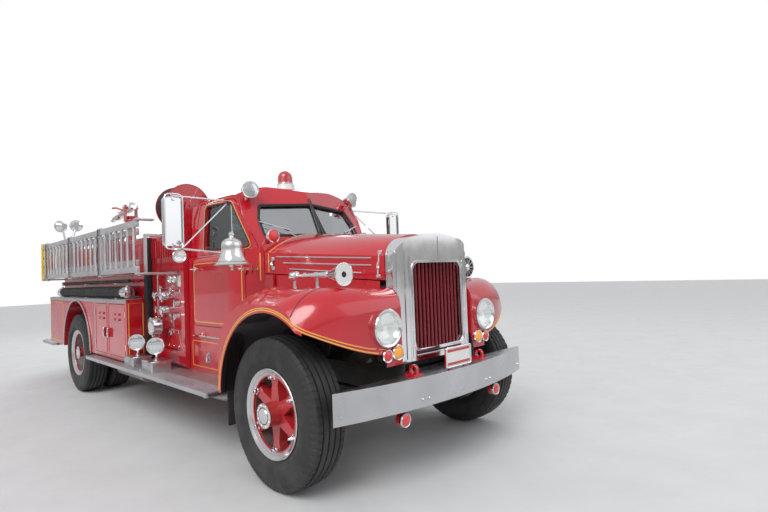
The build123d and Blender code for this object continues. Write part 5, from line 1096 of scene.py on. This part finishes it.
# Running boards: ribs, edge bands and the boxes' lids
for side, word in SIDES:
    ribs = Mesh()
    board_front, board_rear = FRONT - 0.782, FRONT - 4.092
    sweep(ribs, [(board_front - 0.004, side * 1.248, 0.566), (board_rear + 0.004, side * 1.248, 0.566)],
        band(0.034, 0.004), [(0, side, 0)] * 2)
    for x in (board_front, board_rear):
        facing = 1 if x == board_front else -1
        sweep(ribs, [(x, side * 0.86, 0.564), (x, side * 1.24, 0.564)], band(0.030, 0.003),
            [(facing, 0, 0)] * 2)
    for i in range(9):
        y = side * (1.235 - 0.020 * i)
        sweep(ribs, [(board_front - 0.012, y, BOARD_TOP), (FRONT - 2.060, y, BOARD_TOP)],
            band(0.007, 0.003), [(0, 0, 1)] * 2)
    ribs.make(f"board_edges_{word}", alloy, "chassis", "aluminium")
    boxes = Mesh()
    for x in (FRONT - 2.220, BODY_FRONT + 0.145):
        block(boxes, (x, side * 1.090, 0.632), (0.264, 0.204, 0.100), 0.018, segments=3)
        block(boxes, (x, side * 1.090, 0.676), (0.272, 0.212, 0.016), 0.006)
        tube(boxes, [(x + 0.04, side * 1.197, 0.652), (x + 0.04, side * 1.208, 0.640),
            (x + 0.04, side * 1.204, 0.620)], 0.005, 8)
        revolve(boxes, (x, side * 1.090, 0.680), (0, 0, 1), [(0.036, 0.0), (0.034, 0.006), (0.018, 0.012),
            (0.015, 0.030)], 20)
    boxes.make(f"equipment_boxes_{word}", alloy, "chassis", "aluminium")

# Ladders: rung collars, end caps, the yellow end board, straps and clamps
collars = Mesh()
for front, rear, outer, low, high in ((FRONT - 2.150, BODY_REAR + 0.230, 1.292, 1.577, 2.098),
        (FRONT - 2.280, BODY_REAR + 0.380, 1.246, 1.647, 2.028)):
    length = front - rear
    for i in range(22):
        x = rear + 0.090 + i * (length - 0.180) / 21
        for z, up in ((low + 0.062, 1), (high - 0.062, -1)):
            revolve(collars, (x, -outer + 0.016, z), (0, 0, up),
                [(0.0205, -0.002), (0.0205, 0.008), (0.016, 0.012)], 12)
    for z in (low + 0.031, high - 0.031):
        for x, way in ((front, 1), (rear, -1)):
            block(collars, (x - way * 0.006, -outer + 0.016, z), (0.026, 0.038, 0.068), 0.006)
        for i in range(11):
            revolve(collars, (rear + 0.2 + i * (length - 0.4) / 10, -outer, z), (0, -1, 0),
                [(0.007, -0.001), (0.006, 0.003), (0.0, 0.004)], 8)
collars.make("ladder_collars", alloy_soft, "chassis", "aluminium")
block(Mesh(), (BODY_REAR + 0.218, END_BOARD_Y, 1.8375), (0.030, 0.120, 0.575),
    0.010).make("ladder_end_board", yellow, "chassis", "aluminium")
dots = Mesh()
for z in (1.640, 1.770, 1.900, 2.030):
    revolve(dots, (BODY_REAR + 0.2335, -1.262, z), (1, 0, 0), [(0.022, 0.0), (0.020, 0.002), (0.0, 0.003)],
        20)
    revolve(dots, (BODY_REAR + 0.2025, END_BOARD_Y, z), (-1, 0, 0),
        [(0.022, 0.0), (0.020, 0.002), (0.0, 0.003)], 20)
dots.make("end_board_dots", trim_black, "chassis", "black_plastic")
straps = Mesh()
for x in (BODY_REAR + 0.50, BODY_REAR + 1.80, BODY_FRONT - 0.43):
    ring = rounded([(-1.304, 1.566), (-1.196, 1.566), (-1.196, 2.108), (-1.304, 2.108)], 0.014)
    points = [Vector((x, y, z)) for y, z in ring]
    outward = [(Vector((0, y + 1.25, (z - 1.837) * 0.2))).normalized() for y, z in ring]
    sweep(straps, points, [(-0.016, 0.0), (0.016, 0.0), (0.016, 0.003), (-0.016, 0.003)], outward, True)
straps.make("ladder_straps", trim_black, "chassis", "rubber")
clamps = Mesh()
for x in (FRONT - 2.130, BODY_FRONT - 0.410, BODY_REAR + 1.780, BODY_REAR + 0.480):
    for z in (1.565, 2.104):
        block(clamps, (x, -1.215, z), (0.075, 0.180, 0.018), 0.006)
        revolve(clamps, (x, -1.270, z), (0, 0, 1 if z > 2 else -1),
            [(0.014, 0.006), (0.014, 0.014), (0.008, 0.020), (0.0, 0.021)], 12)
clamps.make("ladder_clamps", alloy_soft, "chassis", "aluminium")

# Suction hoses: helical ribs and bright end couplings
ribs = Mesh()
ends = Mesh()
hose_rear, hose_front = BODY_REAR + 0.480, BODY_FRONT - 0.110
for y, z, radius in ((-1.090, 1.370, 0.062), (1.040, 1.560, 0.075), (1.040, 1.780, 0.075)):
    turns = int((hose_front - hose_rear - 0.30) / 0.040)
    for k in range(turns):
        x = hose_rear + 0.15 + 0.040 * k
        revolve(ribs, (x, y, z), (1, 0, 0), [(radius, -0.011), (radius + 0.0035, -0.003),
            (radius + 0.0035, 0.005), (radius, 0.012)], 20)
    for x, way in ((hose_rear, 1), (hose_front, -1)):
        revolve(ends, (x, y, z), (way, 0, 0), [(0.0, -0.002), (radius * 0.9, -0.002),
            (radius * 1.10, 0.004), (radius * 1.10, 0.050), (radius * 1.03, 0.056), (radius * 1.03, 0.120),
            (radius * 1.0, 0.126)], 28)
        for k in range(3):
            t = math.radians(90 + 120 * k)
            block(ends, (x + way * 0.028, y + math.cos(t) * radius * 1.12, z + math.sin(t) * radius * 1.12),
                (0.030, 0.022, 0.022), 0.006)
ribs.make("suction_hose_ribs", hose_black, "chassis", "rubber")
ends.make("suction_hose_couplings", chrome, "chassis", "chrome")

# Hose bed: slatted floor and bright rails
bed = Mesh()
for i in range(17):
    y = -0.86 + 0.1075 * i
    sweep(bed, [(BODY_REAR + 0.01, y, 1.317), (BODY_FRONT - 0.05, y, 1.317)], band(0.075, 0.012),
        [(0, 0, 1)] * 2)
bed.make("hose_bed_slats", alloy_soft, "chassis", "aluminium")
rails = Mesh()
for side in (-1, 1):
    sweep(rails, [(BODY_REAR, side * 0.930, 1.980), (BODY_FRONT - 0.005, side * 0.930, 1.980)],
        band(0.048, 0.006), [(0, 0, 1)] * 2)
rails.make("hose_bed_rails", alloy, "chassis", "aluminium")

# Reel: wound booster hose, rims, spokes and hubs
wound = Mesh()
for layer in range(2):
    for k in range(10 - layer):
        x = FRONT - 2.390 - 0.026 - (0.0275 if not layer else 0.0412) - 0.0275 * (k - 0.5)
        revolve(wound, (x, REEL_Y, REEL_Z), (1, 0, 0), [(0.203 + 0.0235 * layer
            + 0.013 * math.cos(math.radians(a)), 0.013 * math.sin(math.radians(a))) for a in range(0, 360,
            45)], 48, True)
wound.make("booster_hose", hose_black, "hose_reel", "rubber")
flanges = Mesh()
for x, way in ((FRONT - 2.384, 1), (FRONT - 2.696, -1)):
    revolve(flanges, (x, REEL_Y, REEL_Z), (way, 0, 0), [(0.236, 0.0), (0.244, 0.002), (0.246, -0.006),
        (0.240, -0.012)], 56)
    for k in range(6):
        t = math.radians(60 * k)
        out = Vector((0, math.cos(t), math.sin(t)))
        start = Vector((x, REEL_Y, REEL_Z))
        sweep(flanges, [start + out * 0.045, start + out * 0.232], band(0.022, 0.004), [(way, 0, 0)] * 2)
    revolve(flanges, (x, REEL_Y, REEL_Z), (way, 0, 0), [(0.050, 0.0), (0.048, 0.006), (0.018, 0.010)], 28)
flanges.make("reel_flanges", paint, "hose_reel", "red_paint")

# Deck gun: rings, tip and grips
GUN = Vector((FRONT - 3.800, -0.780, 2.450))
line = Vector((-math.cos(math.radians(8)), 0, -math.sin(math.radians(8))))
gun = Mesh()
for along, radius in ((-0.055, 0.055), (0.060, 0.054), (0.430, 0.050), (0.505, 0.049), (0.690, 0.031)):
    revolve(gun, GUN + line * along, line, [(radius * 0.9, -0.010), (radius, -0.007), (radius, 0.007),
        (radius * 0.9, 0.010)], 28)
revolve(gun, GUN + line * 0.700, line, [(0.026, -0.004), (0.028, 0.002), (0.022, 0.003), (0.020, -0.020),
    (0.0, -0.020)], 24)
revolve(gun, GUN - line * 0.070, line * -1, [(0.052, -0.004), (0.048, 0.006), (0.020, 0.012), (0.0, 0.014)],
    28)
gun.make("gun_rings", chrome, "monitor_barrel", "chrome")
grips = Mesh()
for side in (-1, 1):
    start = GUN + line * 0.180 + Vector((0, side * 0.040, 0.010))
    tube(grips, [start, start + Vector((-0.05, side * 0.060, 0.030)),
        start + line * 0.16 + Vector((0, side * 0.070, 0.060))], 0.012, 10)
grips.make("gun_grips", paint, "monitor_barrel", "red_paint")
turret = Mesh()
for z, radius in ((2.252, 0.073), (2.282, 0.072)):
    revolve(turret, (GUN.x, GUN.y, z), (0, 0, 1), [(radius * 0.9, -0.006), (radius, -0.003),
        (radius, 0.003), (radius * 0.9, 0.006)], 32)
for side in (-1, 1):
    revolve(turret, (GUN.x, GUN.y + side * 0.082, GUN.z), (0, side, 0),
        [(0.024, -0.004), (0.024, 0.006), (0.012, 0.012), (0.0, 0.013)], 20)
turret.make("turret_rings", chrome, "monitor_turret", "chrome")

# Bell: beads, finial and clapper
BELL = Vector((FRONT - 0.632, -1.080, 1.590))
beads = Mesh()
for z, radius in ((0.006, 0.1405), (0.030, 0.122), (0.150, 0.0835), (0.196, 0.069)):
    revolve(beads, BELL + Vector((0, 0, z)), (0, 0, 1), [(radius - 0.004, -0.004),
        (radius + 0.0015, -0.002), (radius + 0.0015, 0.002), (radius - 0.004, 0.004)], 44)
revolve(beads, BELL + Vector((0, 0, 0.210)), (0, 0, 1), [(0.040, 0.0), (0.034, 0.008), (0.018, 0.014),
    (0.016, 0.024), (0.024, 0.034), (0.024, 0.042), (0.012, 0.054), (0.0, 0.058)], 24)
revolve(beads, BELL + Vector((0, 0, 0.020)), (0, 0, 1), [(0.0, -0.035), (0.022, -0.028), (0.026, -0.012),
    (0.014, 0.006), (0.008, 0.050)], 20)
beads.make("bell_beads", bell_metal, "chassis", "chrome")

# Horn: housing, rings and mouth, the mouth with a painted glow and the throat in painted shade; siren: bars
# before a throat of painted shade
horn = Mesh()
HORN = Vector((FRONT - 0.180, -0.820, 1.485))
revolve(horn, HORN, (1, 0, 0), [(0.0, -0.004), (0.030, -0.002), (0.037, 0.004), (0.037, 0.056),
    (0.028, 0.066), (0.016, 0.070)], 28)
for along, radius in ((0.160, 0.020), (0.300, 0.0225), (0.440, 0.027)):
    revolve(horn, HORN, (1, 0, 0), [(radius - 0.004, along - 0.010), (radius + 0.003, along - 0.004),
        (radius + 0.003, along + 0.004), (radius - 0.004, along + 0.010)], 24)
revolve(horn, HORN, (1, 0, 0), [(0.078, 0.606), (0.082, 0.608), (0.082, 0.613), (0.077, 0.615),
    (0.072, 0.612)], 40)
for x in (0.030, 0.310):
    foot = HORN + Vector((x, 0, -0.092))
    revolve(horn, foot, (0, 0, 1), [(0.030, -0.010), (0.028, 0.000), (0.014, 0.010), (0.012, 0.050)], 20)
horn.make("horn_rings", chrome, "chassis", "chrome")
# The horn's mouth takes the glowing lamp reflector finish: a painted glow on a part that is no lamp.
revolve(Mesh(), HORN, (1, 0, 0), [(0.073, 0.6120), (0.060, 0.6112), (0.030, 0.6107), (0.021, 0.6107)],
    36).make("horn_mouth_painted_glow", reflector, "chassis", "chrome")
# The horn's throat is a near black disc: painted shade in the hollow.
revolve(Mesh(), HORN, (1, 0, 0), [(0.021, 0.6107), (0.010, 0.6106), (0.0, 0.6106)], 24).make("horn_throat_painted_shade",
    dark, "chassis", "black_plastic")
siren = Mesh()
SIREN = Vector((FRONT + 0.290, 0.820, 1.505))
revolve(siren, SIREN, (1, 0, 0), [(0.098, -0.012), (0.107, -0.004), (0.107, 0.004), (0.098, 0.010),
    (0.090, 0.008)], 40)
revolve(siren, SIREN, (1, 0, 0), [(0.030, 0.004), (0.028, 0.014), (0.014, 0.020), (0.0, 0.021)], 24)
for k in range(12):
    t = math.radians(30 * k)
    out = Vector((0, math.cos(t), math.sin(t)))
    sweep(siren, [SIREN + out * 0.026 + Vector((0.004, 0, 0)), SIREN + out * 0.092 + Vector((0.004, 0, 0))],
        band(0.012, 0.005), [(1, 0, 0)] * 2)
siren.make("siren_front", chrome, "chassis", "chrome")
# The siren's throat behind the bars is a near black disc: painted shade.
revolve(Mesh(), SIREN, (1, 0, 0), [(0.095, 0.0012), (0.05, 0.0016), (0.0, 0.0016)], 32).make("siren_throat_painted_shade",
    dark, "chassis", "black_plastic")

# Outside mirrors: glass, rim, hoop, brace and the lamp below
for side, word in SIDES:
    x, y = FRONT - 1.150, side * 1.335
    face = Mesh()
    outline = rounded([(-0.072, -0.200), (0.072, -0.200), (0.072, 0.200), (-0.072, 0.200)], 0.036)
    plate(face, outline, (x - 0.0180, y, MIRROR_Z), (0, -1, 0), (0, 0, 1), 0.0025)
    face.make(f"mirror_glass_{word}", mirror_face, f"door_{word}", "chrome")
    edge = Mesh()
    for at in (-0.018, 0.018):
        tube(edge, [(x + at, y + a * 1.08, MIRROR_Z + b * 1.03) for a, b in outline], 0.004, 8, True)
    for z in (1.790, 2.170):
        block(edge, (x, y, z), (0.046, 0.030, 0.030), 0.006)
    hoop = rounded([(-0.076, -0.232), (0.076, -0.232), (0.076, 0.232), (-0.076, 0.232)], 0.045)
    tube(edge, [(x + 0.030, y + a, MIRROR_Z + b) for a, b in hoop], 0.0065, 10, True)
    for z in (1.790, 2.170):
        tube(edge, [(x + 0.030, y, z), (x + 0.010, y, z)], 0.008, 10)
    tube(edge, [(FRONT - 1.125, side * 1.262, 1.762), (FRONT - 1.245, side * 0.790, 2.180)], 0.007, 10)
    edge.make(f"mirror_rim_{word}", chrome, f"door_{word}", "chrome")
    flood = Mesh()
    spot = Vector((x + 0.034, side * 1.300, 1.690))
    revolve(flood, spot, (1, 0, 0), [(0.0, -0.060), (0.030, -0.056), (0.050, -0.030), (0.056, 0.000),
        (0.059, 0.006), (0.055, 0.012), (0.049, 0.008), (0.046, 0.004)], 36)
    tube(flood, [spot + Vector((-0.020, 0, 0.045)), spot + Vector((-0.010, 0, 0.075))], 0.008, 10)
    flood.make(f"mirror_lamp_{word}", chrome, f"door_{word}", "chrome")
    revolve(Mesh(), spot, (1, 0, 0), [(0.050, 0.003), (0.030, -0.004), (0.0, -0.006)],
        28).make(f"mirror_lamp_bowl_{word}", reflector, f"door_{word}", "chrome")
    revolve(Mesh(), spot, (1, 0, 0), [(0.051, 0.006), (0.030, 0.013), (0.0, 0.015)],
        28).make(f"mirror_lamp_lens_{word}", lamp_glass, f"door_{word}", "glass")

# Tailboard: edge band, and the grab rails with flanges
tail = Mesh()
outline = rounded([(BODY_REAR - 0.004, -1.118), (BODY_REAR - 0.004, 1.118), (TAIL_END, 1.118),
    (TAIL_END, -1.118)], 0.060)
ring = [Vector((px, py, 0.540)) for px, py in outline]
outward = [Vector((px + 3.58, py * 0.35, 0)).normalized() for px, py in outline]
sweep(tail, ring, [(-0.017, -0.002), (0.017, -0.002), (0.017, 0.0), (-0.017, 0.0)], outward, True)
for y in (-GRAB_RAIL_Y, GRAB_RAIL_Y):
    for z in (0.700, 1.220):
        revolve(tail, (BODY_REAR, y, z), (-1, 0, 0), [(0.036, 0.0), (0.034, 0.006), (0.020, 0.010),
            (0.0175, 0.020)], 24)
tail.make("tailboard_trim", alloy, "chassis", "aluminium")
rails = Mesh()
for y in (-GRAB_RAIL_Y, GRAB_RAIL_Y):
    corner = [(BODY_REAR, y, 0.700), (BODY_REAR - 0.040, y, 0.700), (BODY_REAR - 0.064, y, 0.716),
        (BODY_REAR - 0.070, y, 0.745), (BODY_REAR - 0.070, y, 1.175), (BODY_REAR - 0.064, y, 1.204),
        (BODY_REAR - 0.040, y, 1.220), (BODY_REAR, y, 1.220)]
    tube(rails, corner, 0.0178, 16)
rails.make("grab_rails", chrome, "chassis", "chrome")

# Exhaust: muffler bands
pipe = Mesh()
for x in (-0.430, -0.300, 0.300, 0.430):
    revolve(pipe, (FRONT - 3.700 + x, -0.780, 0.370), (1, 0, 0),
        [(0.0955, -0.014), (0.0985, -0.010), (0.0985, 0.010), (0.0955, 0.014)], 32)
pipe.make("muffler_bands", steel, "chassis", "pale_steel")

# Floor, light and camera
data = bpy.data.meshes.new("floor")
data.from_pydata([(-40, -40, 0), (40, -40, 0), (40, 40, 0), (-40, 40, 0)], [], [[0, 1, 2, 3]])
floor = bpy.data.objects.new("floor", data)
bpy.context.scene.collection.objects.link(floor)
data.materials.append(surface("floor_pale", (0.60, 0.60, 0.60), 0.7, vary=0.03, bump=0.01, scale=8.0,
    dust=0.0))


def area(name, place, target, size, power, colour=(1, 1, 1)):
    light = bpy.data.lights.new(name, "AREA")
    light.shape = "RECTANGLE"
    light.size, light.size_y = size
    light.energy = power
    light.color = colour
    obj = bpy.data.objects.new(name, light)
    obj.location = place
    obj.rotation_euler = (Vector(target) - Vector(place)).to_track_quat("-Z", "Y").to_euler()
    bpy.context.scene.collection.objects.link(obj)


area("key", (5.0, -8.5, 7.5), (1.0, 0, 1.0), (9, 7), 290, (1.0, 0.98, 0.95))
area("fill", (11.0, 5.0, 6.0), (2.0, 0, 1.0), (12, 8), 210, (0.94, 0.97, 1.0))
area("back", (-9.0, 5.0, 6.0), (0.0, 0, 1.0), (7, 4), 200)
sun_data = bpy.data.lights.new("sun", "SUN")
sun_data.energy = 1.35
sun_data.angle = math.radians(35)
sun = bpy.data.objects.new("sun", sun_data)
sun.rotation_euler = (math.radians(38), math.radians(22), 0)
bpy.context.scene.collection.objects.link(sun)

world = bpy.data.worlds.new("studio")
bpy.context.scene.world = world
world.use_nodes = True
tree = world.node_tree
tree.nodes.clear()
out = tree.nodes.new("ShaderNodeOutputWorld")
sky = tree.nodes.new("ShaderNodeBackground")
where = tree.nodes.new("ShaderNodeTexCoord")
split = tree.nodes.new("ShaderNodeSeparateXYZ")
ramp = tree.nodes.new("ShaderNodeValToRGB")
ramp.color_ramp.elements[0].position = 0.46
ramp.color_ramp.elements[0].color = (0.34, 0.34, 0.34, 1)
ramp.color_ramp.elements[1].position = 0.62
ramp.color_ramp.elements[1].color = (0.90, 0.92, 0.96, 1)
band_stop = ramp.color_ramp.elements.new(0.52)
band_stop.color = (0.52, 0.51, 0.50, 1)
half = tree.nodes.new("ShaderNodeMath")
half.operation = "MULTIPLY_ADD"
half.inputs[1].default_value = 0.5
half.inputs[2].default_value = 0.5
tree.links.new(where.outputs["Generated"], split.inputs["Vector"])
tree.links.new(split.outputs["Z"], half.inputs[0])
tree.links.new(half.outputs["Value"], ramp.inputs["Fac"])
tree.links.new(ramp.outputs["Color"], sky.inputs["Color"])
sky.inputs["Strength"].default_value = 0.72
clean = tree.nodes.new("ShaderNodeBackground")
clean.inputs["Color"].default_value = (1, 1, 1, 1)
clean.inputs["Strength"].default_value = 1.0
path = tree.nodes.new("ShaderNodeLightPath")
choice = tree.nodes.new("ShaderNodeMixShader")
tree.links.new(path.outputs["Is Camera Ray"], choice.inputs["Fac"])
tree.links.new(sky.outputs["Background"], choice.inputs[1])
tree.links.new(clean.outputs["Background"], choice.inputs[2])
tree.links.new(choice.outputs["Shader"], out.inputs["Surface"])

# Camera: place and turn fitted to the photo
YAW, PITCH, ROLL = 0.790, 0.032, -0.038
FOCAL_PIXELS = 500.0
PICTURE_WIDTH = 768.0
forward = Vector((-math.cos(YAW) * math.cos(PITCH), math.sin(YAW) * math.cos(PITCH), math.sin(PITCH)))
level = Vector((math.sin(YAW), math.cos(YAW), 0))
above = level.cross(forward)
right = level * math.cos(ROLL) + above * math.sin(ROLL)
upward = above * math.cos(ROLL) - level * math.sin(ROLL)
camera_data = bpy.data.cameras.new("camera")
camera_data.sensor_width = 36.0
camera_data.lens = FOCAL_PIXELS / PICTURE_WIDTH * camera_data.sensor_width
camera = bpy.data.objects.new("camera", camera_data)
bpy.context.scene.collection.objects.link(camera)
turn = Matrix((right, upward, -forward)).transposed().to_4x4()
camera.matrix_world = Matrix.Translation(Vector((FRONT + 3.052, -3.068, 1.491))) @ turn
bpy.context.scene.camera = camera
bpy.context.scene.view_settings.view_transform = "Standard"
